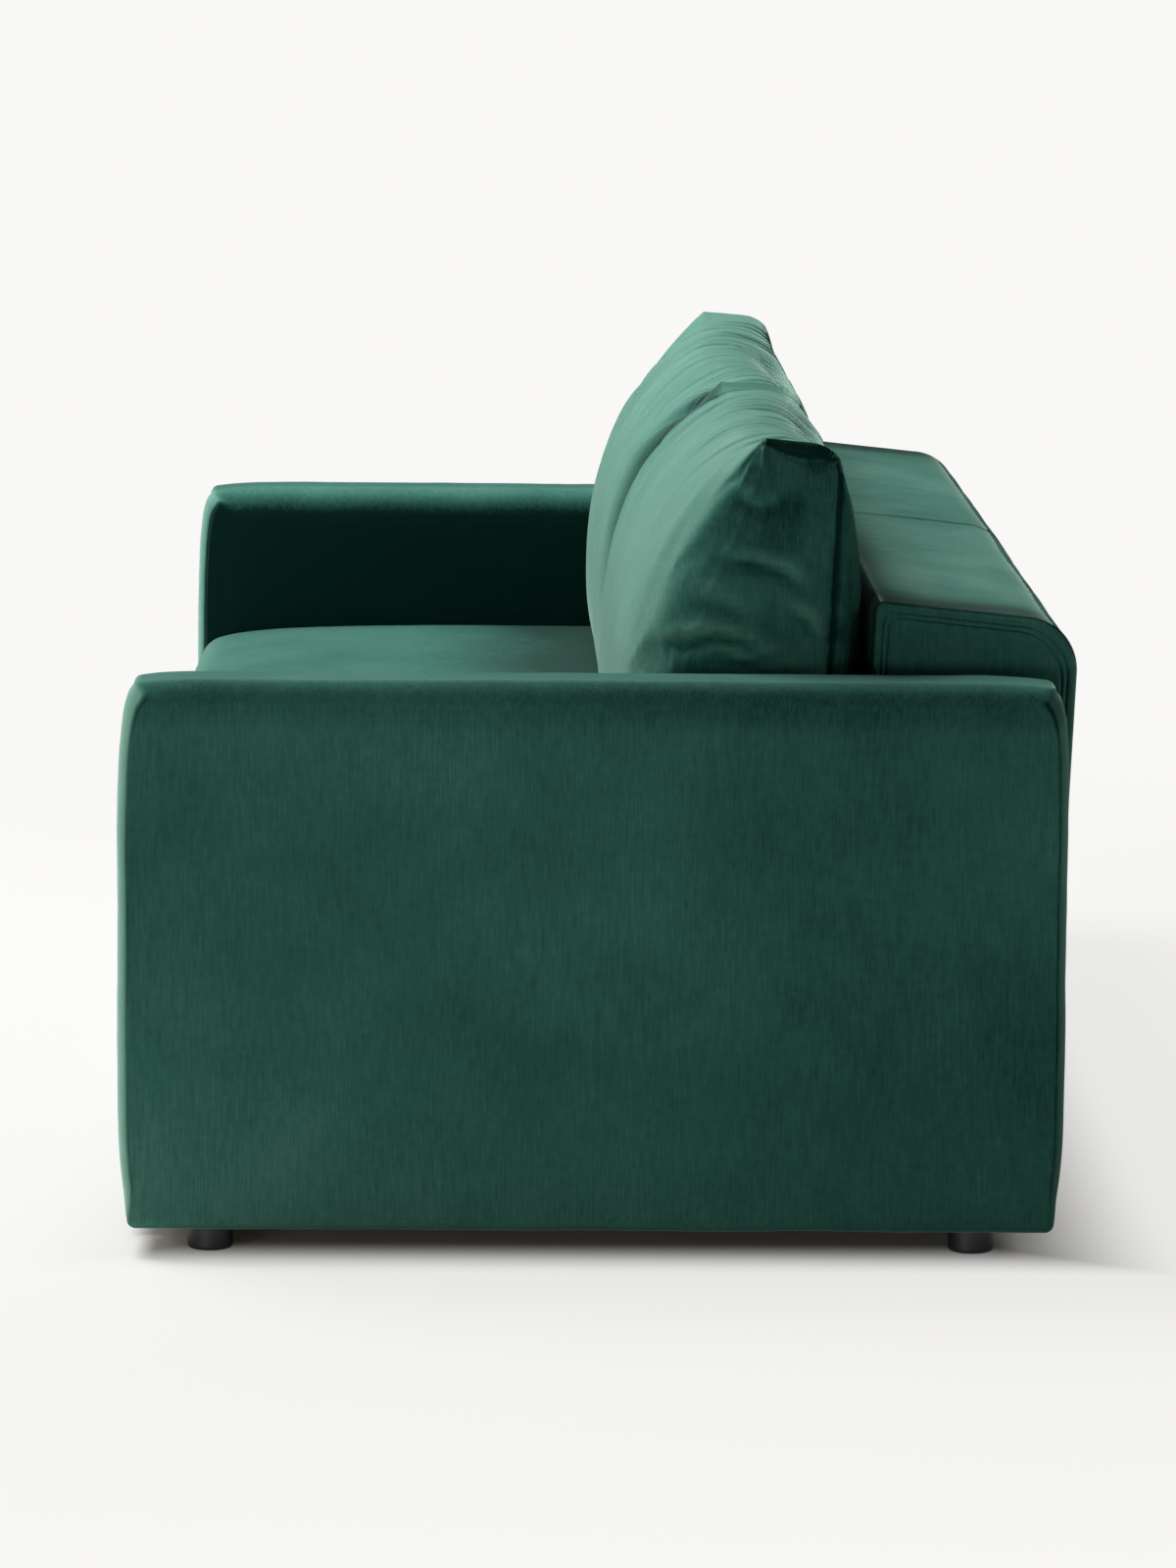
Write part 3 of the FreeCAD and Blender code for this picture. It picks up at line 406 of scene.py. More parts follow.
def ramp_node(tree, value, stops):
    """A colour ramp through (place, colour) stops."""
    node = tree.nodes.new("ShaderNodeValToRGB")
    elements = node.color_ramp.elements
    while len(elements) < len(stops):
        elements.new(0.5)
    for element, (place, colour) in zip(elements, stops):
        element.position = place
        element.color = (*colour, 1)
    feed(tree, node, {"Fac": value})
    return node.outputs["Color"]


def math_node(tree, operation, *values):
    """The result of one operation on numbers and sockets."""
    return add_node(tree, "Math", "Value", dict(enumerate(values)), operation=operation)


def map_node(tree, value, before, after, kind="SMOOTHSTEP"):
    """A step from one pair of numbers to another."""
    keys = ("Value", "From Min", "From Max", "To Min", "To Max")
    values = dict(zip(keys, (value, *before, *after)))
    return add_node(tree, "MapRange", "Result", values, interpolation_type=kind)


def bump_node(tree, height, strength, distance, **normal):
    values = {"Height": height, "Strength": strength, "Distance": distance, **normal}
    return add_node(tree, "Bump", "Normal", values)


def mix_node(tree, share, first, second, output):
    """Sends a mix of two shaders to the tree's output."""
    mix = add_node(tree, "MixShader", "Shader", {"Fac": share, 1: first, 2: second})
    tree.links.new(mix, tree.nodes[output].inputs["Surface"])


VELVET_STOPS = [
    (0.2, (0.0030, 0.0240, 0.0195)),
    (0.5, (0.0410, 0.1540, 0.1200)),
    (0.8, (0.130, 0.288, 0.226)),
    (1.0, (0.175, 0.360, 0.285)),
]
VELVET_SHEEN = (0.64, 0.95, 0.80)
VELVET_UPRIGHT_SHEEN = 0.5
# The shaded copy of the velvet has little sheen: painted shade.
VELVET_SHADED_SHEEN = 0.06
VELVET_BLOTCHES = 0.30
VELVET_WEAVE = 0.20
VELVET_PILE = 0.12
VELVET_MOTTLE = 0.12
VELVET_CRUSHED = 0.15
TIMBER_STOPS = [(0.3, (0.32, 0.19, 0.095)), (0.5, (0.52, 0.35, 0.19)), (0.75, (0.66, 0.49, 0.30))]
TIMBER_GRAIN = 0.7
STEEL_STOPS = [(0.3, (0.50, 0.51, 0.53)), (0.7, (0.66, 0.67, 0.69))]
STEEL_ROUGHNESS = (0.28, 0.48)


def make_velvet(name, sheen):
    """Velvet whose tone follows blotches, weave and pile, and the painted light and shade (with some random tone)
    stored at its points.
    """
    material, tree, shader = new_material(name)
    blotch = noise_node(tree, 5.0, 3.0)
    mottle = noise_node(tree, 110.0, 3.0)
    weave = noise_node(tree, 520.0, 1.0, (1.0, 1.0, 0.06))
    pile = noise_node(tree, 1100.0, 2.0)
    # The points' painted light and shade, with some random tone, shift the velvet's tone.
    painted_shading_and_tone = add_node(tree, "Attribute", "Fac", {}, attribute_name="painted_shading_and_tone")
    crush = math_node(tree, "MULTIPLY_ADD", math_node(tree, "ABSOLUTE", painted_shading_and_tone), VELVET_CRUSHED, VELVET_MOTTLE)
    tone = math_node(tree, "MULTIPLY", math_node(tree, "SUBTRACT", mottle, 0.5), crush)
    for value, share in ((blotch, VELVET_BLOTCHES), (weave, VELVET_WEAVE), (pile, VELVET_PILE)):
        tone = math_node(tree, "MULTIPLY_ADD", math_node(tree, "SUBTRACT", value, 0.5), share, tone)
    tone = math_node(tree, "ADD", math_node(tree, "ADD", tone, painted_shading_and_tone), 0.5)
    threads = bump_node(tree, weave, 0.10, 0.0006)
    feed(tree, shader, {
        "Base Color": ramp_node(tree, tone, VELVET_STOPS),
        "Roughness": 0.85,
        "Specular IOR Level": 0.02,
        "Sheen Weight": sheen,
        "Sheen Roughness": 0.36,
        "Sheen Tint": (*VELVET_SHEEN, 1),
        "Normal": bump_node(tree, pile, 0.15, 0.0004, Normal=threads),
    })
    return material


def make_timber():
    material, tree, shader = new_material("timber")
    grain = noise_node(tree, 14.0, 6.0, (0.25, 5.0, 5.0))
    figure = math_node(tree, "MULTIPLY", noise_node(tree, 3.0, 3.0), 1 - TIMBER_GRAIN)
    tone = math_node(tree, "MULTIPLY_ADD", grain, TIMBER_GRAIN, figure)
    colour = ramp_node(tree, tone, TIMBER_STOPS)
    surface = bump_node(tree, grain, 0.2, 0.001)
    feed(tree, shader, {"Base Color": colour, "Roughness": 0.62, "Normal": surface})
    return material


def make_steel():
    material, tree, shader = new_material("zinc_steel")
    spangle = noise_node(tree, 160.0, 3.0)
    rough = map_node(tree, spangle, (0.0, 1.0), STEEL_ROUGHNESS, "LINEAR")
    colour = ramp_node(tree, spangle, STEEL_STOPS)
    feed(tree, shader, {"Base Color": colour, "Metallic": 1.0, "Roughness": rough})
    return material


def make_plain(name, dark, light, scale, roughness, bump_strength, stretch=None):
    """Moulded plastic, board or cloth: two close tones, a fine surface and its own roughness."""
    material, tree, shader = new_material(name)
    fleck = noise_node(tree, scale, 4.0, stretch)
    colour = ramp_node(tree, fleck, [(0.35, dark), (0.65, light)])
    surface = bump_node(tree, fleck, bump_strength, 0.0006)
    feed(tree, shader, {"Base Color": colour, "Roughness": roughness, "Normal": surface})
    return material


PLAIN_MATERIALS = {
    "hardboard": ((0.16, 0.09, 0.045), (0.25, 0.15, 0.08), 220.0, 0.75, 0.25),
    "black_plastic": ((0.006, 0.006, 0.007), (0.014, 0.014, 0.015), 500.0, 0.45, 0.12),
    "nylon": ((0.68, 0.67, 0.62), (0.78, 0.77, 0.72), 60.0, 0.4, 0.05),
    "dust_cloth": ((0.012, 0.012, 0.013), (0.035, 0.035, 0.037), 900.0, 0.95, 0.5),
    "webbing": ((0.03, 0.05, 0.045), (0.10, 0.14, 0.12), 320.0, 0.9, 0.5, (0.15, 1, 1)),
    "filling": ((0.72, 0.71, 0.68), (0.82, 0.81, 0.78), 150.0, 0.95, 0.3),
}

velvet = make_velvet("velvet", VELVET_UPRIGHT_SHEEN)
# Painted shade: a copy of the velvet with little sheen.
shaded_velvet = make_velvet("shaded_velvet", VELVET_SHADED_SHEEN)
materials = {"velvet": velvet, "timber": make_timber(), "zinc_steel": make_steel()}
for name, look in PLAIN_MATERIALS.items():
    materials[name] = make_plain(name, *look)

for subpart in frame["record"]["subparts"]:
    shape = frame["nodes"][subpart["node"]].data
    shape.materials.clear()
    shape.materials.append(materials[subpart["material_slot"]])


def dress(piece, body, fill, *nodes):
    """A padded velvet piece that rides on a body and stands for these nodes."""
    piece.data.materials.append(velvet)
    piece.data.materials.append(shaded_velvet)
    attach(piece, body)
    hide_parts(*nodes)


def shade_faces(piece, shaded_faces):
    """Gives the chosen faces the shaded copy of the velvet, with little sheen: painted shade where shade falls."""
    piece.data.polygons.foreach_set("material_index", np.asarray(shaded_faces, np.int32))


# Arms

ARM_CORNER = 62
ARM_BOTTOM_CORNER = 8
ARM_TOP_DROP = 5
ARM_CORNER_LINE = [
    (0, 170), (0.8, 130), (1.6, 106), (2.8, 80), (4.4, 62), (5.4, 52), (7, 40), (9.2, 30), (12.5, 20),
    (17, 12), (23, 7), (33, 4), (53, 2), (80, 0.6), (110, 0),
]
ARM_OUTER_ROLL = (28, 30)
ARM_INNER_ROLL = (38, 44)
ARM_BOTTOM_ROLL = 12
ARM_BOTTOM_RISE = (4, 70)
ARM_STATIONS = 26
ARM_BAND = 13
ARM_BAND_DEPTH = 46
ARM_BAND_TURN = 34
ARM_BAND_CURVE = 1.8
ARM_BAND_RISE = (2, 40)
ARM_SEAM = 10
ARM_SEAM_DEPTH = 2.2
ARM_SEAM_WIDTH = 0.9
ARM_EAR = 1.4
ARM_EAR_ANGLE = 52
ARM_EAR_WIDTH = 5
ARM_EAR_DIP = 0.8
ARM_EAR_DIP_ANGLE = 43
ARM_EAR_DIP_WIDTH = 3.5
ARM_TUCK = 13
ARM_TUCK_HEIGHT = 125
ARM_TUCK_CURVE = 2.2
ARM_REAR_LEAN = 2.5
ARM_REAR_LEAN_START = 200
ARM_REAR_LEAN_FALL = (600, 400)
ARM_FACE_SWELL = 3
ARM_SWELLS = (0.9, 120, 3)
ARM_RIPPLE = (0.2, 18, 1)
ARM_SINK = 0.6
ARM_BOARD_SHOWS = 2.0
ARM_ACROSS = 150
ARM_UP = 100
# Painted light and shade on the arms: painted shade on the inner face and towards the rear of the outer face, and
# painted light on the inner roll. The outer roll is darker and the lower outer face lighter.
ARM_PAINTED_SHADING = {
    "outer roll": (-0.07, {"outward": (0.1, 0.5), "fall": (64, 40)}),
    "top of the outer roll": (-0.03, {"outward": (0.05, 0.3), "fall": (34, 14)}),
    "lower outer face": (0.06, {"outward": (0.6, 0.9), "fall": (400, 590)}),
    "inner roll": (0.06, {"outward": (-0.05, -0.35), "fall": (26, 10)}),
    "rear of the outer face": (-0.11, {"outward": (0.6, 0.9), "y": (-100, 450)}),
    "inner face": (-0.44, {"outward": (-0.2, -0.75), "fall": (8, 52)}),
}
# Painted light on the front bands, a little painted shade on the rear bands, and painted shade along the seams and
# in the crease under each ear.
ARM_FRONT_BAND_LIGHT = 0.34
ARM_REAR_BAND_SHADE = -0.06
ARM_BAND_SHADING_START = 2
ARM_SEAM_SHADE = -0.30
ARM_SEAM_SHADE_WIDTH = 0.8
ARM_EAR_SHADE_WIDTH = 1.6
ARM_EAR_SHADE_FALL = (36, 20)


def arm_loop(low, high):
    front, rear = low[1], high[1]
    bottom, top = low[2], high[2] - ARM_TOP_DROP
    foot = ARM_BOTTOM_CORNER
    rise = smooth_run([(rear - y, top - z) for y, z in ARM_CORNER_LINE], 8)
    fall = (rise * (-1, 1))[::-1]
    path = [trace((front + foot, bottom), [
        (rear - foot, bottom),
        (rear - foot, bottom + foot, foot, -45),
        tuple(rise[0]),
    ])]
    path += [rise, trace(tuple(rise[-1]), [tuple(fall[0])]), fall]
    path.append(trace(tuple(fall[-1]), [
        (front, bottom + foot),
        (front + foot, bottom + foot, foot, 225),
    ]))
    path = np.vstack(path)
    path = path[np.hypot(*(path - np.roll(path, 1, 0)).T) > 0.01]
    corners = [(front, bottom), (rear, bottom), (rear, top), (front, top)]
    return four_sided(path, corners, ARM_ACROSS, ARM_UP)


def arm_corner_angle(loop, high):
    """0 below the top corners, rising to 90 degrees over each corner and on the top between them."""
    outward = np.abs(loop[:, 0]) - (high[1] - ARM_CORNER)
    upward = loop[:, 1] - (high[2] - ARM_CORNER)
    angle = np.degrees(np.arctan2(upward, np.maximum(outward, 1e-6)))
    return np.clip(np.where(outward <= 0, np.where(upward > 0, 90, 0), angle), 0, 90)


def arm_edge(station, banded, across, down):
    """(depth, inset) of the edge: rolled over top and bottom, with a sewn-on band down front and rear."""
    angle = math.radians(90 * (1 - station / (ARM_STATIONS - 1)))
    depth, inset = across * (1 - math.sin(angle)), down * (1 - math.cos(angle))
    if station <= ARM_SEAM:
        ahead = 1 - station / ARM_SEAM
        sewn_depth, sewn_inset = 0.0, ARM_BAND + (down - ARM_BAND) * ahead ** ARM_BAND_CURVE
    else:
        first = math.radians(ARM_BAND_TURN)
        turn = first + (math.pi / 2 - first) * (station - ARM_SEAM) / (ARM_STATIONS - 1 - ARM_SEAM)
        sewn_depth = ARM_BAND_DEPTH * (math.cos(first) - math.cos(turn)) / math.cos(first)
        sewn_inset = ARM_BAND * (1 - math.sin(turn)) / (1 - math.sin(first))
    groove = ARM_SEAM_DEPTH * bump(station, ARM_SEAM, ARM_SEAM_WIDTH)
    depth = depth * (1 - banded) + (sewn_depth + groove) * banded
    inset = inset * (1 - banded) + (sewn_inset + 0.5 * groove) * banded
    return depth, inset


def arm_edges(loop, low, banded, ear, roll):
    """(depth, inset) of each station from one face of an arm inwards."""
    above = ramp(loop[:, 1] - low[2], *ARM_BOTTOM_RISE)
    across, down = (ARM_BOTTOM_ROLL + (size - ARM_BOTTOM_ROLL) * above for size in roll)
    edges = []
    for station in range(ARM_STATIONS):
        depth, inset = arm_edge(station, banded, across, down)
        edges.append((depth, inset - ear * station / ARM_STATIONS))
    return edges


def arm_painted_shading(piece, low, high, banded):
    """Painted light and shade from the arms' rows, with painted light on the front bands, a little painted shade
    on the rear ones, and painted shade along the seams and in the crease under each ear.
    """
    points, normals = points_of(piece), normals_of(piece)
    fall = high[2] - points[:, 2]
    outward = normals[:, 0] * math.copysign(1, low[0])
    painted_shading_and_tone = light_and_shade_rows(ARM_PAINTED_SHADING, points, normals, outward=outward, fall=fall)
    station = np.repeat(np.arange(2 * ARM_STATIONS + 1), len(banded))
    station = np.minimum(station, 2 * ARM_STATIONS - station)
    sewn = np.tile(banded, 2 * ARM_STATIONS + 1)
    edge = slice(0, len(station))
    band = sewn * ramp(station, ARM_SEAM, ARM_SEAM + ARM_BAND_SHADING_START)
    painted_shading_and_tone[edge] += band * np.where(points[edge, 1] < 0, ARM_FRONT_BAND_LIGHT, ARM_REAR_BAND_SHADE)
    # Painted shade in the crease under the ear and along the seam.
    crease = bump(station, ARM_SEAM - 1, ARM_EAR_SHADE_WIDTH) * bump(fall[edge], *ARM_EAR_SHADE_FALL)
    crease += bump(station, ARM_SEAM, ARM_SEAM_SHADE_WIDTH)
    painted_shading_and_tone[edge] += ARM_SEAM_SHADE * sewn * np.minimum(crease, 1)
    return painted_shading_and_tone


def make_arm(side, seed):
    name = side + "_arm_upholstery"
    low, high = node_box(name)
    loop = arm_loop(low, high)
    corner = arm_corner_angle(loop, high)
    beside = np.abs(loop[:, 0]) > high[1] - ARM_CORNER
    banded = beside * (1 - ramp(corner, ARM_EAR_ANGLE - ARM_EAR_WIDTH, ARM_EAR_ANGLE + ARM_EAR_WIDTH))
    banded *= ramp(loop[:, 1] - low[2], *ARM_BAND_RISE)
    dip = ARM_EAR_DIP * bump(corner, ARM_EAR_DIP_ANGLE, ARM_EAR_DIP_WIDTH)
    ear = ARM_EAR * beside * (bump(corner, ARM_EAR_ANGLE, ARM_EAR_WIDTH) - dip)
    rolls = [ARM_INNER_ROLL, ARM_OUTER_ROLL]
    if low[0] < 0:
        rolls.reverse()
    edges, far_edges = (arm_edges(loop, low, banded, ear, roll) for roll in rolls)
    stations = [(low[0] + depth, shrunk(loop, inset)) for depth, inset in edges]
    stations.append((np.full(len(loop), (low[0] + high[0]) / 2), shrunk(loop, -ear)))
    stations += [(high[0] - depth, shrunk(loop, inset)) for depth, inset in reversed(far_edges)]
    xs = np.array([x for x, _ in stations])
    loops = np.array([ring for _, ring in stations])
    piece = skin(name + "_velvet", xs, loops, ARM_ACROSS, ARM_UP, (-ARM_FACE_SWELL, ARM_FACE_SWELL))
    points = points_of(piece)
    height = (points[:, 2] - low[2]) / ARM_TUCK_HEIGHT
    points[:, 1] *= 1 - ARM_TUCK * np.clip(1 - height, 0, 1) ** ARM_TUCK_CURVE / high[1]
    leaning = ramp(points[:, 1], ARM_REAR_LEAN_START, high[1]) * ramp(points[:, 2], *ARM_REAR_LEAN_FALL)
    points[:, 1] -= ARM_REAR_LEAN * leaning
    set_points(piece, points)
    raise_points(piece, relief(points, ARM_SWELLS, seed) + relief(points, ARM_RIPPLE, seed + 7) - ARM_SINK)
    set_painted_shading(piece, arm_painted_shading(piece, low, high, banded))
    open_bottom(piece, side + "_arm_frame", ARM_BOARD_SHOWS)
    dress(piece, "base", 0.9, name)


make_arm("left", 11)
make_arm("right", 23)


# Seat

SEAT_EDGE_DROP = 4
SEAT_REAR_RADIUS = 24
SEAT_REAR_LAND = 12
SEAT_REAR_RAKE = 0.44
SEAT_FRONT_LINE = [
    (150, 449), (0, 450), (-150, 450), (-280, 448.6), (-377, 445.5), (-430, 441.5), (-465, 436.5),
    (-488, 430.5), (-502, 421.5), (-511, 408), (-517, 388), (-521, 360), (-523, 325), (-522.5, 290),
    (-520.5, 250), (-518, 215), (-515, 190),
]
SEAT_FRONT_CORNER = (-508, 414)
SEAT_ROLL = 14
SEAT_ACROSS = 120
SEAT_UP = 52
SEAT_SWELLS = (1.2, (300, 160, 160), 3)
SEAT_RIPPLE = (0.3, 24, 1)
SEAT_SIDE = 240
SEAT_SIDE_CALM = 0.8
SEAT_SIDE_SINK = 2.5
SEAT_SIDE_RISE = (300, 440)
SEAT_CLOTH_SHOWS = 3.0
# Painted shadow on the seat in front of the cushions, darkest at their foot.
SEAT_PAINTED_SHADOW = {"before the cushions": (-0.35, {"y": (-240, 10), "z": (400, 440)})}


def seat_loop(low, high):
    rear = high[1]
    bottom, top = low[2], high[2]
    edge = top - SEAT_EDGE_DROP
    radius = SEAT_REAR_RADIUS
    land = edge - radius - SEAT_REAR_LAND
    rear_foot = rear - SEAT_REAR_RAKE * (land - bottom)
    behind = trace((rear_foot, bottom), [
        (rear, land),
        (rear, edge - radius),
        (rear - radius, edge - radius, radius, 45),
    ])
    over = smooth_run([tuple(behind[-1])] + SEAT_FRONT_LINE)
    under = trace(tuple(over[-1]), [(rear_foot, bottom)])
    path = np.vstack([behind, over[1:], under[1:-1]])
    corners = [SEAT_FRONT_LINE[-1], (rear_foot, bottom), (rear, edge), SEAT_FRONT_CORNER]
    return four_sided(path, corners, SEAT_ACROSS, SEAT_UP)


def make_seat():
    low, high = node_box("seat_upholstery")
    stations = long_stations(high[0], SEAT_ROLL)
    piece = rolled_skin("seat_velvet", stations, seat_loop(low, high), SEAT_ACROSS, SEAT_UP)
    points = points_of(piece)
    outer = ramp(np.abs(points[:, 0]), high[0] - SEAT_ROLL - SEAT_SIDE, high[0])
    soft = relief(points, SEAT_SWELLS, 41) + relief(points, SEAT_RIPPLE, 47)
    sunk = SEAT_SIDE_SINK * outer * ramp(points[:, 2], *SEAT_SIDE_RISE)
    raise_points(piece, soft * (1 - SEAT_SIDE_CALM * outer) - sunk)
    set_painted_shading(piece, light_and_shade_rows(SEAT_PAINTED_SHADOW, points, normals_of(piece)))
    open_bottom(piece, "seat_dust_cloth", SEAT_CLOTH_SHOWS)
    dress(piece, "seat", 0.85, "seat_upholstery")


make_seat()


# Apron

APRON_ROLL = 8
APRON_ACROSS = 12
APRON_UP = 40
APRON_SWELLS = (0.6, (140, 60, 60), 3)
APRON_SOFT_DEPTH = (6, 1)


def make_apron():
    low, high = node_box("apron_cover")
    front, rear, bottom, top = low[1], high[1], low[2], high[2]
    radius = APRON_ROLL
    runs = [
        (rear, bottom),
        (rear, top),
        (front + radius, top),
        (front + radius, top - radius, radius, 135),
        (front, bottom + radius),
        (front + radius, bottom + radius, radius, 225),
    ]
    path = trace((front + radius, bottom), runs, 0.5)
    corners = [(front, bottom), (rear, bottom), (rear, top), (front, top)]
    loop = four_sided(path, corners, APRON_ACROSS, APRON_UP, 8.0)
    piece = rolled_skin("apron_velvet", long_stations(high[0], radius), loop, APRON_ACROSS, APRON_UP)
    points = points_of(piece)
    soft = ramp(points[:, 1] - front, *APRON_SOFT_DEPTH)
    raise_points(piece, soft * relief(points, APRON_SWELLS, 61))
    set_painted_shading(piece, np.zeros(len(points)))
    dress(piece, "seat", 0.9, "apron_cover")


make_apron()


# Back

BACK_RAKE = 90 - joints["back_fold"]["range_deg"][1]
BACK_PIVOT = np.array(joints["back_fold"]["pos_m"]) / MM
BACK_FRONT = -20
BACK_REAR = 208
BACK_BELOW = -272
BACK_HEIGHT = 709
BACK_TOP_FALL = 9
BACK_FRONT_RADII = (14, 35)
BACK_REAR_RADII = (60, 70)
BACK_ROLL = 8
BACK_ROLL_ANGLES = (90, 80, 70, 60, 50, 40, 30, 20, 10, 0)
BACK_ACROSS = 48
BACK_UP = 96
BACK_STATIONS = 75
BACK_SEAM_DEPTH = 12
BACK_SEAM_WIDTH = 5
BACK_SEAM_OFFSETS = (1.0, 2.2, 3.8, 6, 9, 12, 15, 19, 24)
BACK_SEAM_CLEAR = 8
BACK_END_RINGS = (8.8, 9.8, 10.6, 11.4, 12.2, 13.2, 14.4, 15.6, 16.4, 17.2, 18, 19, 20.4, 23, 27)
BACK_STITCH_RINGS = (11, 17)
BACK_STITCH_DEPTH = 2.0
BACK_STITCH_WIDTH = 1.1
BACK_SWELLS = (1.6, (260, 140, 140), 3)
BACK_RIPPLE = (0.5, 22, 1)
BACK_FOLDS = (1.1, (34, 190, 190), 2)
BACK_REAR_CALM = 0.9
BACK_REAR_CALM_START = (100, 165)
BACK_END_FADE = 40
BACK_END_SHARE = 0.15
# Painted light: the whole back a little lighter than the other velvet pieces.
BACK_PAINTED_LIGHT = 0.05
BACK_NAP_BLOTCHES = (0.07, (150, 80, 80), 3)
# Painted shade along the middle seam.
BACK_SEAM_SHADE = -0.45
BACK_SEAM_SHADE_WIDTH = 9
# Painted light and shade on the back. Painted shade goes on the front behind the cushions, on the roll at the
# top's rear, on the ends and on the top towards the ends. Painted light goes on the rear and on the top's front
# edge, where the cushions' shadow falls.
BACK_PAINTED_SHADING = {
    "front": (-0.34, {"facing_y": (-0.35, -0.75)}),
    "roll at the top's rear": (-0.16, {"facing_y": (0.2, 0.6), "facing_z": (0.1, 0.4)}),
    "rear": (0.06, {"facing_y": (0.6, 0.9)}),
    "ends": (-0.06, {"facing_x": (0.7, 0.95)}),
    "top's front edge": (0.16, {"facing_z": (0.5, 0.8), "from_front": (120, 0)}),
    "top's ends": (-0.42, {"facing_z": (0.5, 0.8), "from_end": (150, 10)}),
}
# Where the back gets the shaded velvet, for painted shade.
BACK_SHADED_FRONT = -0.45
BACK_SHADED_REAR = 0.5
BACK_SHADED_TOP = 0.25


def back_loop():
    rake = math.radians(BACK_RAKE)
    top = (BACK_HEIGHT - BACK_PIVOT[2]) / math.cos(rake)
    rear_top = top - BACK_TOP_FALL
    front, rear, low = BACK_FRONT, BACK_REAR, BACK_BELOW
    (r_front, r_low), (r_top, r_rear) = BACK_FRONT_RADII, BACK_REAR_RADII
    runs = [
        (rear - r_rear, low),
        (rear - r_rear, low + r_rear, r_rear, -45),
        (rear, rear_top - r_top),
        (rear - r_top, rear_top - r_top, r_top, 45),
        (front + r_front, top),
        (front + r_front, top - r_front, r_front, 135),
        (front, low + r_low),
        (front + r_low, low + r_low, r_low, 225),
    ]
    path = trace((front + r_low, low), runs)
    corners = [(front, low), (rear, low), (rear, rear_top), (front, top)]
    return four_sided(path, corners, BACK_ACROSS, BACK_UP)


def back_stations(end):
    """(x, inset) from end to end: a seam at the middle, and rings of stitches on the end faces."""
    half = [(0.0, BACK_SEAM_DEPTH)]
    half += [(x, BACK_SEAM_DEPTH * math.exp(-x / BACK_SEAM_WIDTH)) for x in BACK_SEAM_OFFSETS]
    plain = np.linspace(BACK_SEAM_OFFSETS[-1] + BACK_SEAM_CLEAR, end - BACK_ROLL, BACK_STATIONS)
    half += [(x, 0.0) for x in plain[:-1]]
    half += end_stations(end, BACK_ROLL, BACK_ROLL_ANGLES)[::-1]
    for inset in BACK_END_RINGS:
        groove = sum(BACK_STITCH_DEPTH * bump(inset, ring, BACK_STITCH_WIDTH) for ring in BACK_STITCH_RINGS)
        half.append((end - groove, float(inset)))
    return [(-x, inset) for x, inset in reversed(half[1:])] + half


def placed_back(points):
    """Leans the upright back about its pivot and sets it in place."""
    rake = math.radians(BACK_RAKE)
    placed = points.copy()
    placed[:, 1] = BACK_PIVOT[1] + points[:, 1] * math.cos(rake) + points[:, 2] * math.sin(rake)
    placed[:, 2] = BACK_PIVOT[2] - points[:, 1] * math.sin(rake) + points[:, 2] * math.cos(rake)
    return placed


# Painted light over the whole back, random blotches of tone, painted shade in the middle seam, and the back's rows
# of painted light and shade.
def back_painted_shading(points, normals, inner):
    painted_shading_and_tone = BACK_PAINTED_LIGHT + relief(points, BACK_NAP_BLOTCHES, 91)
    painted_shading_and_tone += BACK_SEAM_SHADE * bump(points[:, 0], 0, BACK_SEAM_SHADE_WIDTH)
    from_front, from_end = points[:, 1] - BACK_FRONT, inner - np.abs(points[:, 0])
    return painted_shading_and_tone + light_and_shade_rows(BACK_PAINTED_SHADING, points, normals, from_front=from_front, from_end=from_end)


def shaded_on_back(loop):
    """Which steps of the loop lie on the front, or on the roll at the top's rear: these faces get painted shade
    from the shaded velvet.
    """
    leg = np.roll(loop, -1, 0) - loop
    out_y, out_z = leg[:, 1] / np.hypot(*leg.T), -leg[:, 0] / np.hypot(*leg.T)
    return (out_y < BACK_SHADED_FRONT) | (out_y > BACK_SHADED_REAR) & (out_z > BACK_SHADED_TOP)


def make_back():
    end = node_box("back_upholstery")[1][0]
    inner = end - BACK_ROLL
    loop = back_loop()
    stations = back_stations(end)
    piece = rolled_skin("back_velvet", stations, loop, BACK_ACROSS, BACK_UP)
    points = points_of(piece)
    fine = relief(points, BACK_RIPPLE, 77) + relief(points, BACK_FOLDS, 83)
    fine *= 1 - BACK_REAR_CALM * ramp(points[:, 1], *BACK_REAR_CALM_START)
    inside = ramp(inner - np.abs(points[:, 0]), 0, BACK_END_FADE)
    soft = relief(points, BACK_SWELLS, 71) + fine
    raise_points(piece, soft * (BACK_END_SHARE + (1 - BACK_END_SHARE) * inside))
    set_painted_shading(piece, back_painted_shading(points, normals_of(piece), inner))
    set_points(piece, placed_back(points_of(piece)))
    dress(piece, "back", 0.85, "back_upholstery")
    # Painted shade: the front behind the cushions and the roll at the top's rear get the shaded velvet.
    shaded_faces = np.zeros(len(piece.data.polygons), bool)
    rows = len(stations) - 1
    shaded_faces[:rows * len(loop)] = np.tile(shaded_on_back(loop), rows)
    shade_faces(piece, shaded_faces)


make_back()


# Loose cushions

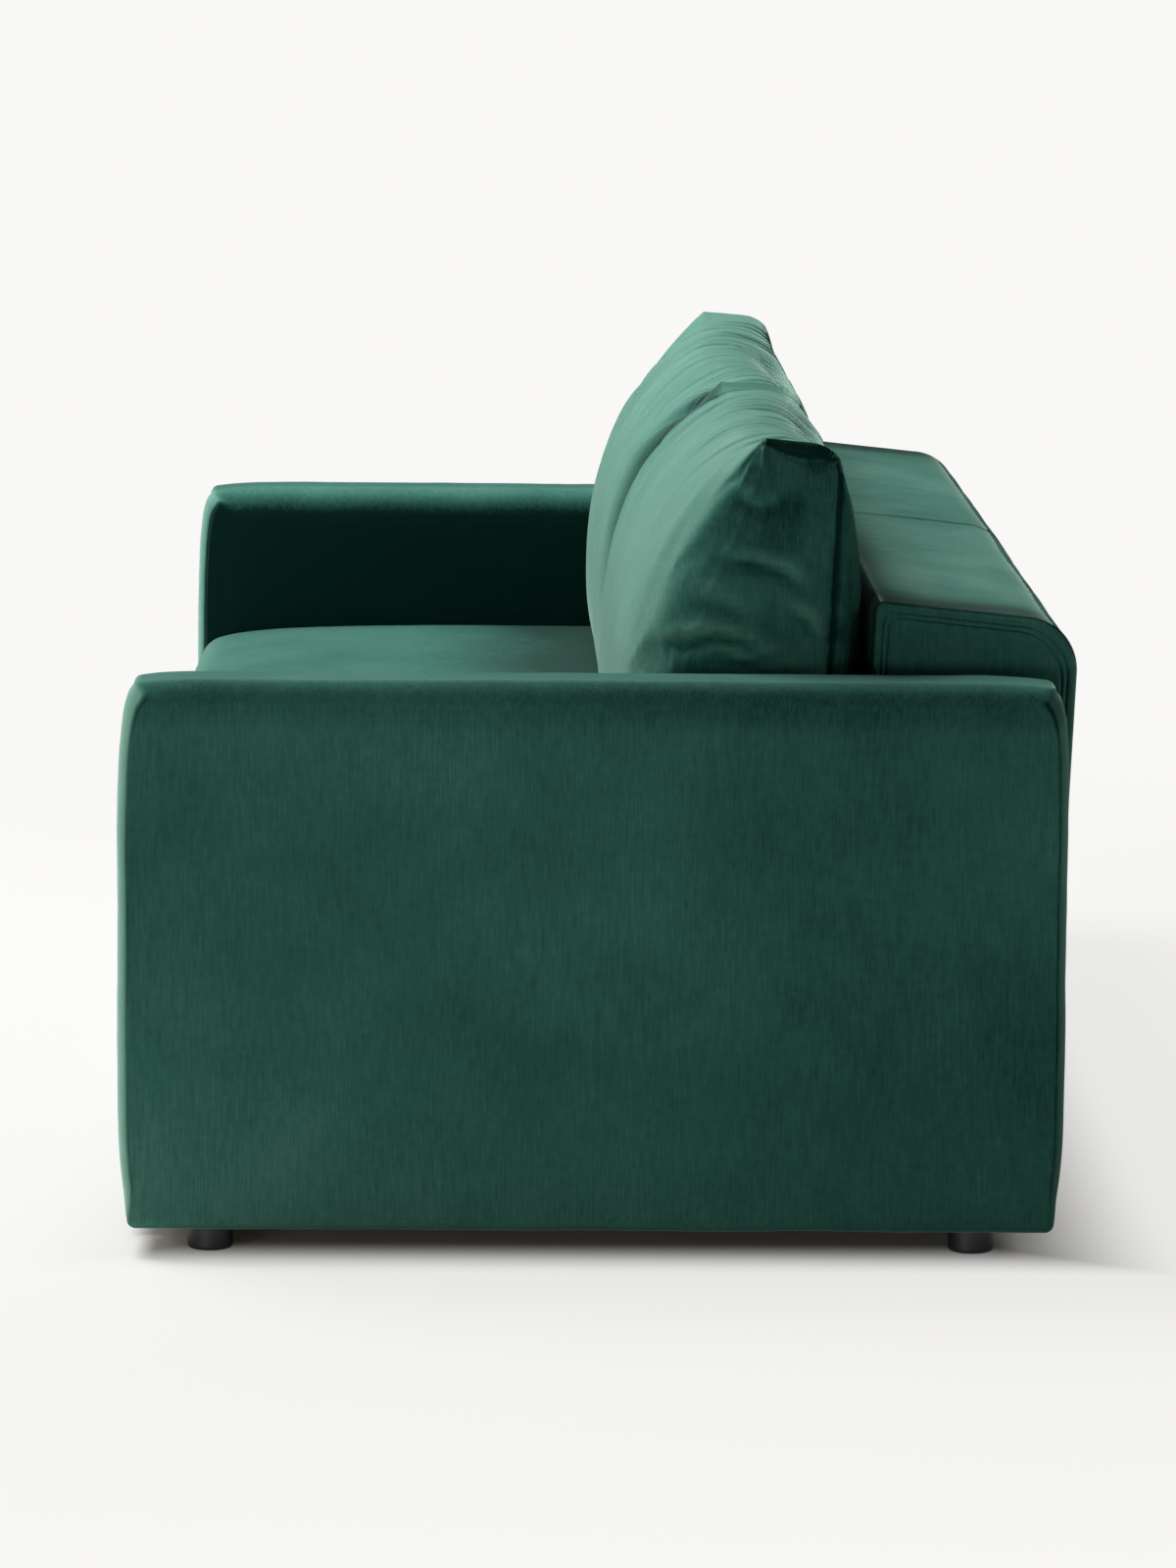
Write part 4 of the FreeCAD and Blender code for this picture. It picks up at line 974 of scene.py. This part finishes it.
CUSHION_BODY = [
    (36, 452), (150, 450.5), (262, 452), (281, 520), (291, 620), (296, 723), (291, 798), (281, 838),
    (266, 860), (245, 871), (217, 876), (190, 874), (164, 865), (136, 847), (94, 808), (61, 765), (37, 700),
    (26, 640), (20, 590), (22, 515),
]
CUSHION_END = [
    (96, 456), (170, 454), (240, 456), (250, 520), (258, 620), (264, 723), (268, 800), (270, 845), (266, 867),
    (246, 881), (215, 885), (192, 887), (183, 886), (173, 871), (154, 825), (131, 768), (101, 700), (86, 640),
    (78, 590), (78, 515),
]
CUSHION_ROLLS = [
    140, 140, 100, 50, 40, 40, 40, 50, 160,
    300, 300, 300, 300, 140, 150, 160, 160, 160,
    160, 150,
]
CUSHION_TOP = slice(8, 13)
CUSHION_CORNERS = (0, 2, 8, 12)
CUSHION_END_TOP = slice(7, 13)
CUSHION_END_REAR = slice(2, 8)
CUSHION_LEANING = slice(11, 15)
CUSHION_LEAN_SHARES = (1.0, 1.0, 0.8, 0.4)
CUSHION_DROP_RISE = (780, 880)
CUSHION_CROWD = 1.6
CUSHION_CROWD_RISE = (800, 860)
CUSHION_INSET = 5
CUSHION_LEAN_IN = 5
CUSHION_ACROSS = 44
CUSHION_UP = 76
CUSHION_RING = 2 * (CUSHION_ACROSS + CUSHION_UP)
CUSHION_END_STATIONS = 30
CUSHION_END_SPACING = 1.7
CUSHION_END_SWELL = 3
CUSHION_STATIONS = 60
CUSHION_LOOPS = 330
CUSHION_LOOPS_CROWD = 0.1
CUSHION_LOOPS_KEPT = 6
CUSHION_SEATED = (470, 452)
CUSHION_SLACK = 6
CUSHION_SLACK_START = (0, 50)
CUSHION_PRESSURE = 4.0
CUSHION_CAP = 24
CUSHION_FRONT_END = -0.4
CUSHION_CLEAR = (4, 70)
CUSHION_SWELLS = (1.8, (110, 260, 260), 3)
CUSHION_FACING = (0.35, 0.75)
# Painted light on the top and front where they face the light, and painted shade on the front and top beside the
# other cushion, in the crevice between them.
CUSHION_PAINTED_SHADING = {
    "top and front": (0.25, {"facing_x": (0.75, 0.35), "to_light": (-0.3, 0.3)}),
    "front by the other cushion": (-0.48, {
        "against": (180, 45),
        "z": (560, 700),
        "facing_y": (0.4, 0.0),
        "facing_z": (0.96, 0.86),
    }),
    "top by the other cushion": (-0.26, {"against": (110, 15), "facing_z": (0.86, 0.96)}),
}
# Which cushion faces get the shaded velvet, for painted shade on their rear.
CUSHION_SHADED_REAR = 0.3
CUSHION_SHADED_TOP = 0.6


def cushion_loop(depth, tip):
    """The side outline at a depth from the end face; tip is the drop and forward lean of its top corner."""
    body, end = np.array(CUSHION_BODY, float), np.array(CUSHION_END, float)
    drop, lean = tip
    end[CUSHION_LEANING, 0] -= lean * np.array(CUSHION_LEAN_SHARES)
    end[:, 1] -= drop * ramp(end[:, 1], *CUSHION_DROP_RISE)
    inward = np.clip(1 - depth / np.array(CUSHION_ROLLS, float), 0, 1)
    share = 1 - np.sqrt(1 - inward ** 2)
    share[CUSHION_TOP] = inward[CUSHION_TOP] ** 2
    points = body + (end - body) * share[:, None]
    corners = [tuple(points[k]) for k in CUSHION_CORNERS]
    return four_sided(smooth_path(points), corners, CUSHION_ACROSS, CUSHION_UP, crowd=cushion_crowd)


def cushion_crowd(path):
    return 1 + CUSHION_CROWD * ramp(path[:, 1], *CUSHION_CROWD_RISE)


def drawn(maker, spans):
    """A random number from each span, in their order."""
    return [maker.uniform(*span) for span in spans.values()]


GATHERS = {
    "gap": (16, 42), "width": (4.8, 8.5), "reach": (0.25, 0.85),
    "depth": (4.5, 9.0), "lean": (-70, 70), "bend": (-60, 60),
}
GATHER_MARGINS = (14, 10)
GATHER_FULL_REACH = 0.4
GATHER_START = (-0.12, 0.0)
GATHER_LONGEST = 1.15
GATHER_SHOULDER = 0.30
GATHER_SHOULDER_WIDTH = 3.0
# Painted shade in the gathers' valleys, deeper where a gather is deeper.
GATHER_SHADE = (-0.08, -0.04)


def creases(across, along, seed):
    """(height, painted shade in their valleys) of gathers that start at the rear top edge and run over the top
    towards the front.
    """
    maker = np.random.default_rng(seed)
    height, painted_shading_and_tone = np.zeros(len(across)), np.zeros(len(across))
    place = across.min() + GATHER_MARGINS[0]
    while place < across.max() - GATHER_MARGINS[1]:
        gap, width, reach, depth, lean, bend = drawn(maker, GATHERS)
        depth *= GATHER_LONGEST - reach
        line = place + lean * along + bend * along ** 2
        fade = (1 - ramp(along, GATHER_FULL_REACH * reach, reach)) * ramp(along, *GATHER_START)
        valley = bump(across, line, width)
        shoulder = GATHER_SHOULDER * bump(across, line, GATHER_SHOULDER_WIDTH * width)
        height += fade * depth * (shoulder - valley)
        painted_shading_and_tone += fade * (GATHER_SHADE[0] + GATHER_SHADE[1] * depth) * valley
        place += gap
    return height, painted_shading_and_tone


RIDGES = {
    "width": (10, 28), "start": (0.05, 0.4), "end": (0.6, 1.0),
    "lean": (-60, 60), "rise": (-2.8, 3.6), "gap": (24, 64),
}
RIDGE_MARGINS = (40, 30)
RIDGE_FADES = (0.1, 0.3)
RIDGE_LEAN_CENTRE = 0.4


def streaks(across, along, seed):
    """Long soft ridges down the front."""
    maker = np.random.default_rng(seed)
    height = np.zeros(len(across))
    place = across.min() + RIDGE_MARGINS[0]
    while place < across.max() - RIDGE_MARGINS[1]:
        width, start, end, lean, rise, gap = drawn(maker, RIDGES)
        line = place + lean * (along - RIDGE_LEAN_CENTRE)
        fade = ramp(along, start - RIDGE_FADES[0], start + RIDGE_FADES[0])
        fade = fade * (1 - ramp(along, end - RIDGE_FADES[1], end))
        height += rise * fade * bump(across, line, width)
        place += gap
    return height


FAN = {"turn": (-1e-4, 1e-4), "length": (60, 170), "size": (0.7, 1.5)}
FAN_SLOPES = (-0.9, -0.3, 0.25, 0.7, 1.3, 2.0)
FAN_START = (3, 20)
FAN_FULL_LENGTH = 0.3
FAN_SHOULDER = 0.5
FAN_WIDTHS = (0.03, 0.009)


def fan(depth, along, tip, seed):
    """Short folds that spread from an end's top corner over the front and the top."""
    maker = np.random.default_rng(seed)
    height = np.zeros(len(depth))
    for slope in FAN_SLOPES:
        turn, length, size = drawn(maker, FAN)
        line = tip + (slope * MM + turn) * depth
        shoulder, valley = (bump(along, line, width) for width in FAN_WIDTHS)
        fade = ramp(depth, *FAN_START) * (1 - ramp(depth, FAN_FULL_LENGTH * length, length))
        height += size * fade * (FAN_SHOULDER * shoulder - valley)
    return height


FOLD_CREST = (0.75, 1.0)
FOLD_HOLLOW = (-0.6, 0.7)
FOLD_TAPER = (0.02, 0.98)


def stroke(points, line, width, height):
    """A fold along a line of (Y, Z) points: raised on one side, sunk on the other."""
    total = np.zeros(len(points))
    place = points[:, 1:]
    best = np.full(len(points), np.inf)
    count = len(line) - 1
    for k in range(count):
        start, leg = np.array(line[k], float), np.subtract(line[k + 1], line[k])
        share = np.clip((place - start) @ leg / (leg @ leg), 0, 1)
        away = place - start - share[:, None] * leg
        distance = np.hypot(*away.T)
        beside = np.sign(away @ (-leg[1], leg[0])) * distance
        crest, hollow = (bump(beside, at * width, size * width) for at, size in (FOLD_CREST, FOLD_HOLLOW))
        taper = np.sin(np.pi * np.clip((k + share) / count, *FOLD_TAPER))
        total = np.where(distance < best, (crest - hollow) * taper, total)
        best = np.minimum(best, distance)
    return height * total


GUSSET_FOLDS = [
    ([(130, 756), (170, 754), (206, 744), (240, 716)], 9, 7.0),
    ([(64, 660), (100, 666), (134, 674), (166, 666), (196, 646)], 8, 6.4),
    ([(96, 640), (134, 652), (172, 644), (210, 656)], 7, 5.6),
    ([(150, 826), (178, 812), (206, 820)], 10, 3.4),
    ([(206, 704), (232, 690), (250, 662)], 8, 4.6),
    ([(80, 560), (130, 572), (170, 560)], 12, 4.0),
    ([(100, 716), (140, 708), (176, 690)], 12, 3.4),
]
# Painted light on the folds' raised sides and painted shade on their sunk sides.
GUSSET_FOLD_SHADING = 0.032
GUSSET_FADE = (26, 8)
GUSSET_SWELLS = (1.2, 55, 3)
GUSSET_CRUSH_SIZE = 24
# Painted shade on the end face's upper part.
GUSSET_TOP_SHADE = -0.13
GUSSET_TOP_RISE = (720, 820)
GUSSET_CRUSH_NAP = -0.08
HEM_FRONT = 182
HEM_LENGTH = 88
HEM_LEAST = 3
HEM_DROP = 14
HEM_LAP = (-3, 4)
HEM_LAP_HEIGHT = 1.6
HEM_GROOVE = (2.5, 2.5)
HEM_GROOVE_DEPTH = 2.4
# Painted shade on the hem along the top edge.
HEM_SHADE = -0.30
HEM_DEPTH = 20
SEAM_DEPTH = 4.0
SEAM_WIDTH = 2.6
# Painted shade in the rear seam.
SEAM_SHADE = -0.30
SEAM_TOP = 862
SEAM_FRONT = 220
SEAM_FADE = (110, 25)
# Painted shade on the strip behind the rear seam, less towards the top.
SEAM_SIDE_SHADE = (-0.22, 0.16)
SEAM_SIDE_RISE = (560, 780)


def gusset(points, facing, depth, tip_drop):
    """(height, painted light and shade with some random tone) on an end face: the hem under its top edge, the rear
    seam and soft folds between them. Painted shade goes on the hem, in the seam, on the strip behind it and on the
    face's upper part. The folds get painted light and shade, with random darker patches besides.
    """
    y, z = points[:, 1], points[:, 2]
    end = np.array(CUSHION_END, float)
    top = np.array(sorted(map(tuple, end[CUSHION_END_TOP])))
    across = np.clip((y - HEM_FRONT) / HEM_LENGTH, 0, 1)
    hem = HEM_LEAST + HEM_DROP * np.sin(np.pi * across) ** 0.8
    below = np.interp(y, top[:, 0], top[:, 1]) - tip_drop - z - hem
    face = facing * ramp(depth, *GUSSET_FADE)
    height = HEM_LAP_HEIGHT * bump(below, *HEM_LAP) - HEM_GROOVE_DEPTH * bump(below, *HEM_GROOVE)
    height *= face * ramp(across, 0.1, 0.3) * ramp(across, 0.98, 0.85)
    painted_shading_and_tone = HEM_SHADE * (depth < HEM_DEPTH) * ramp(facing, 0.0, 0.3) * ramp(across, 0.0, 0.1)
    painted_shading_and_tone *= ramp(below, 2, -2)
    rear_y, rear_z = end[CUSHION_END_REAR].T
    seam = np.interp(z, rear_z, rear_y) - y
    behind = (z < SEAM_TOP) * (y > SEAM_FRONT) * ramp(depth, *SEAM_FADE)
    line = bump(np.hypot(depth, seam), 0, SEAM_WIDTH) * behind
    height -= SEAM_DEPTH * line
    low_shade, rising_shade = SEAM_SIDE_SHADE
    painted_shading_and_tone += SEAM_SHADE * line + (low_shade + rising_shade * ramp(z, *SEAM_SIDE_RISE)) * behind * ramp(seam, 2, -2)
    crushed = ramp(noise(points, GUSSET_CRUSH_SIZE, 317), -0.1, 0.5)
    painted_shading_and_tone += face * (GUSSET_TOP_SHADE * ramp(z, *GUSSET_TOP_RISE) + GUSSET_CRUSH_NAP * crushed)
    for path, width, size in GUSSET_FOLDS:
        fold = face * stroke(points, path, width, size)
        height += fold
        painted_shading_and_tone += GUSSET_FOLD_SHADING * fold
    return height + face * relief(points, GUSSET_SWELLS, 311), painted_shading_and_tone


def cushion_draft(name, first, last, tips):
    """The stations' places and the draft's points, swollen as cloth between its sewn end edges."""
    longest = max(CUSHION_ROLLS)
    shares = [k / CUSHION_END_STATIONS for k in range(CUSHION_END_STATIONS)]
    depths = [longest * share ** CUSHION_END_SPACING for share in shares]
    stations = [(first + depth, depth, tips[0]) for depth in depths]
    stations += [(x, longest, (0, 0)) for x in np.linspace(first + longest, last - longest, CUSHION_STATIONS)]
    stations += [(last - depth, depth, tips[1]) for depth in reversed(depths)]
    xs = np.array([x for x, _, _ in stations])
    loops = np.array([cushion_loop(depth, tip) for _, depth, tip in stations])
    swell = (-CUSHION_END_SWELL, CUSHION_END_SWELL)
    draft = skin(name + "_draft", xs, loops, CUSHION_ACROSS, CUSHION_UP, swell)
    points = points_of(draft)
    sewn = np.zeros(len(points), bool)
    for station in (0, len(xs) - 1):
        corner = station * CUSHION_RING + CUSHION_ACROSS
        sewn[corner:corner + CUSHION_RING // 2 + 1] = True
    held = np.maximum(sewn, ramp(points[:, 2], *CUSHION_SEATED))
    slack = CUSHION_SLACK * (1 - held)
    depth = np.minimum(points[:, 0] - first, last - points[:, 0])
    around = slice(0, len(xs) * CUSHION_RING)
    slack[around] *= ramp(depth[around], *CUSHION_SLACK_START)
    raise_points(draft, -slack)
    inflate(draft, held, CUSHION_PRESSURE, CUSHION_CAP)
    points = points_of(draft)
    bpy.data.objects.remove(draft)
    return xs, points


def cushion_skin(name, low, high, tips):
    """The cushion before its creases, with many more loops than its draft."""
    first, last = low[0] + CUSHION_INSET, high[0] - CUSHION_INSET
    xs, points = cushion_draft(name, first, last, tips)
    points[:, 0] = np.clip(points[:, 0], low[0] - CUSHION_LEAN_IN, high[0] + CUSHION_LEAN_IN)
    inside = (CUSHION_ACROSS - 1) * (CUSHION_UP - 1)
    body = points[:len(xs) * CUSHION_RING].reshape(len(xs), CUSHION_RING, 3)
    even = np.linspace(0, 1, CUSHION_LOOPS)
    crowded = (1 - np.cos(np.pi * even)) / 2
    share = (1 - CUSHION_LOOPS_CROWD) * even + CUSHION_LOOPS_CROWD * crowded
    kept = [xs[:CUSHION_LOOPS_KEPT], xs[-CUSHION_LOOPS_KEPT:]]
    wanted = np.unique(np.concatenate([first + (last - first) * share, *kept]))
    body = between(body, np.interp(wanted, xs, np.arange(len(xs))))
    patches = [points[-2 * inside:-inside], points[-inside:]]
    return joined(name, body, patches, CUSHION_ACROSS, CUSHION_UP), len(body)


def make_cushion(side, seed, tips, meeting):
    """One cushion; meeting is 0 or 1 for the end that lies against the other cushion."""
    low, high = node_box(side + "_cushion_cover")
    piece, loop_count = cushion_skin(side + "_cushion_velvet", low, high, tips)
    points, normals = points_of(piece), normals_of(piece)
    half = CUSHION_RING // 2
    step = (np.arange(CUSHION_RING) - half) / half
    along = np.ones(len(points))
    along[:loop_count * CUSHION_RING] = np.tile(np.where(step < CUSHION_FRONT_END, 1, step), loop_count)
    from_first = np.maximum(points[:, 0] - (low[0] + CUSHION_INSET), 0)
    from_last = np.maximum(high[0] - CUSHION_INSET - points[:, 0], 0)
    clear = ramp(np.minimum(from_first, from_last), *CUSHION_CLEAR)
    height = relief(points, CUSHION_SWELLS, seed) * clear
    gathers, gather_shade = creases(points[:, 0], along, seed)
    height += clear * (gathers + streaks(points[:, 0], along, seed + 1))
    tip = CUSHION_ACROSS / half
    height += fan(from_first, along, tip, seed + 2) + fan(from_last, along, tip, seed + 3)
    against, to_light = (from_first, from_last)[meeting], normals[:, 2] - normals[:, 1]
    painted_shading_and_tone = light_and_shade_rows(CUSHION_PAINTED_SHADING, points, normals, against=against, to_light=to_light)
    painted_shading_and_tone += clear * gather_shade
    for from_end, outward, (drop, _) in ((from_first, -1, tips[0]), (from_last, 1, tips[1])):
        facing = ramp(outward * normals[:, 0], *CUSHION_FACING)
        end_height, end_shading = gusset(points, facing, from_end, drop)
        height += end_height
        painted_shading_and_tone += end_shading
    raise_points(piece, height)
    set_painted_shading(piece, painted_shading_and_tone)
    dress(piece, side + "_cushion", 0.7, side + "_cushion_cover", side + "_cushion_filling")
    # Painted shade: the rear faces get the shaded velvet, with little sheen.
    faces = vectors(piece.data.polygons, "normal")
    shade_faces(piece, (faces[:, 1] > CUSHION_SHADED_REAR) & (faces[:, 2] < CUSHION_SHADED_TOP))


make_cushion("left", 101, ((18, 14), (0, 0)), 0)
make_cushion("right", 137, ((3, 4), (28, 0)), 1)


# Floor, light and camera, in metres

BACKDROP = (0.947, 0.939, 0.922)
FLOOR_HALF = 30.0
FLOOR_COLOUR = (0.80, 0.793, 0.779)
FLOOR_GLOW = 0.84
FLOOR_NEAR = {"X": (1.01, 1.18), "Y": (0.42, 0.66)}
FLOOR_FADE = (1.2, 3.0)
AMBIENT_COLOUR = (0.95, 0.97, 1.0)
AMBIENT_STRENGTH = 0.02
LAMPS = {
    "key": ((-0.8, -2.3, 4.4), (0, 0, 0.5), (2.6, 2.6), 300),
    "rim": ((-3.3, -0.2, 3.8), (0, 0, 0.5), (2.4, 2.4), 50),
    "low": ((5.2, -1.5, 0.5), (0, 0, 0.45), (2.6, 0.5), 16),
    "front": ((4.6, -2.6, 0.45), (0, 0, 0.45), (1.6, 0.5), 17),
    "rear": ((1.8, 3.3, 2.4), (0.8, 0.4, 0.6), (1.8, 1.2), 14),
}


def ray_node(tree, *kinds):
    """1 for rays of either kind."""
    return math_node(tree, "MAXIMUM", *(add_node(tree, "LightPath", kind, {}) for kind in kinds))


def make_floor():
    """A floor that takes shadows near the sofa and fades into the backdrop away from it."""
    mesh = bpy.data.meshes.new("floor")
    half = FLOOR_HALF
    corners = [(-half, -half, 0), (half, -half, 0), (half, half, 0), (-half, half, 0)]
    mesh.from_pydata(corners, [], [(0, 1, 2, 3)])
    floor = bpy.data.objects.new("floor", mesh)
    bpy.context.scene.collection.objects.link(floor)
    material, tree, shader = new_material("floor")
    tree.nodes.remove(shader)
    diffuse = add_node(tree, "BsdfDiffuse", "BSDF", {"Color": (*FLOOR_COLOUR, 1)})
    glow = add_node(tree, "Emission", "Emission", {"Color": (*BACKDROP, 1)})
    place = add_node(tree, "NewGeometry", "Position", {})
    fade = 0.0
    for axis, reach in FLOOR_NEAR.items():
        size = math_node(tree, "ABSOLUTE", add_node(tree, "SeparateXYZ", axis, {"Vector": place}))
        near = map_node(tree, size, reach, (0.0, FLOOR_GLOW))
        far = map_node(tree, size, FLOOR_FADE, (0.0, 1.0 - FLOOR_GLOW))
        fade = math_node(tree, "MAXIMUM", math_node(tree, "ADD", near, far), fade)
    share = math_node(tree, "MULTIPLY", fade, ray_node(tree, "Is Camera Ray", "Is Glossy Ray"))
    mix_node(tree, share, diffuse, glow, "Material Output")
    mesh.materials.append(material)


def make_world():
    """Dim light all round, behind a backdrop that only the camera sees."""
    world = bpy.data.worlds.new("studio")
    world.use_nodes = True
    bpy.context.scene.world = world
    tree = world.node_tree
    ambient = tree.nodes["Background"]
    feed(tree, ambient, {"Color": (*AMBIENT_COLOUR, 1), "Strength": AMBIENT_STRENGTH})
    seen = add_node(tree, "Background", "Background", {"Color": (*BACKDROP, 1)})
    share = ray_node(tree, "Is Camera Ray", "Is Transmission Ray")
    mix_node(tree, share, ambient.outputs["Background"], seen, "World Output")


def make_lamp(name, place, target, size, power):
    light = bpy.data.lights.new(name, "AREA")
    light.shape = "RECTANGLE"
    light.size, light.size_y = size
    light.energy = power
    lamp = bpy.data.objects.new(name, light)
    lamp.location = place
    lamp.rotation_euler = (Vector(target) - Vector(place)).to_track_quat("-Z", "Y").to_euler()
    lamp.visible_camera = False
    bpy.context.scene.collection.objects.link(lamp)


CAMERA_PLACE = (8.2382, -0.1267, 1.5578)
CAMERA_YAW = 0.953
CAMERA_PITCH = 8.236
CAMERA_ROLL = 0.458
CAMERA_LENS = 153.4


def make_camera():
    yaw, pitch, roll = (math.radians(a) for a in (CAMERA_YAW, CAMERA_PITCH, CAMERA_ROLL))
    forward = Vector((-math.cos(yaw) * math.cos(pitch), math.sin(yaw) * math.cos(pitch), -math.sin(pitch)))
    level = Vector((math.sin(yaw), math.cos(yaw), 0))
    above = level.cross(forward)
    right = math.cos(roll) * level + math.sin(roll) * above
    up = math.cos(roll) * above - math.sin(roll) * level
    camera = bpy.data.objects.new("camera", bpy.data.cameras.new("camera"))
    camera.data.lens = CAMERA_LENS
    camera.data.sensor_width = 36.0
    turn = Matrix((right, up, -forward)).transposed()
    camera.matrix_world = Matrix.Translation(CAMERA_PLACE) @ turn.to_4x4()
    bpy.context.scene.collection.objects.link(camera)
    bpy.context.scene.camera = camera


make_floor()
make_world()
for name, row in LAMPS.items():
    make_lamp(name, *row)
make_camera()
bpy.context.scene.view_settings.view_transform = "Standard"
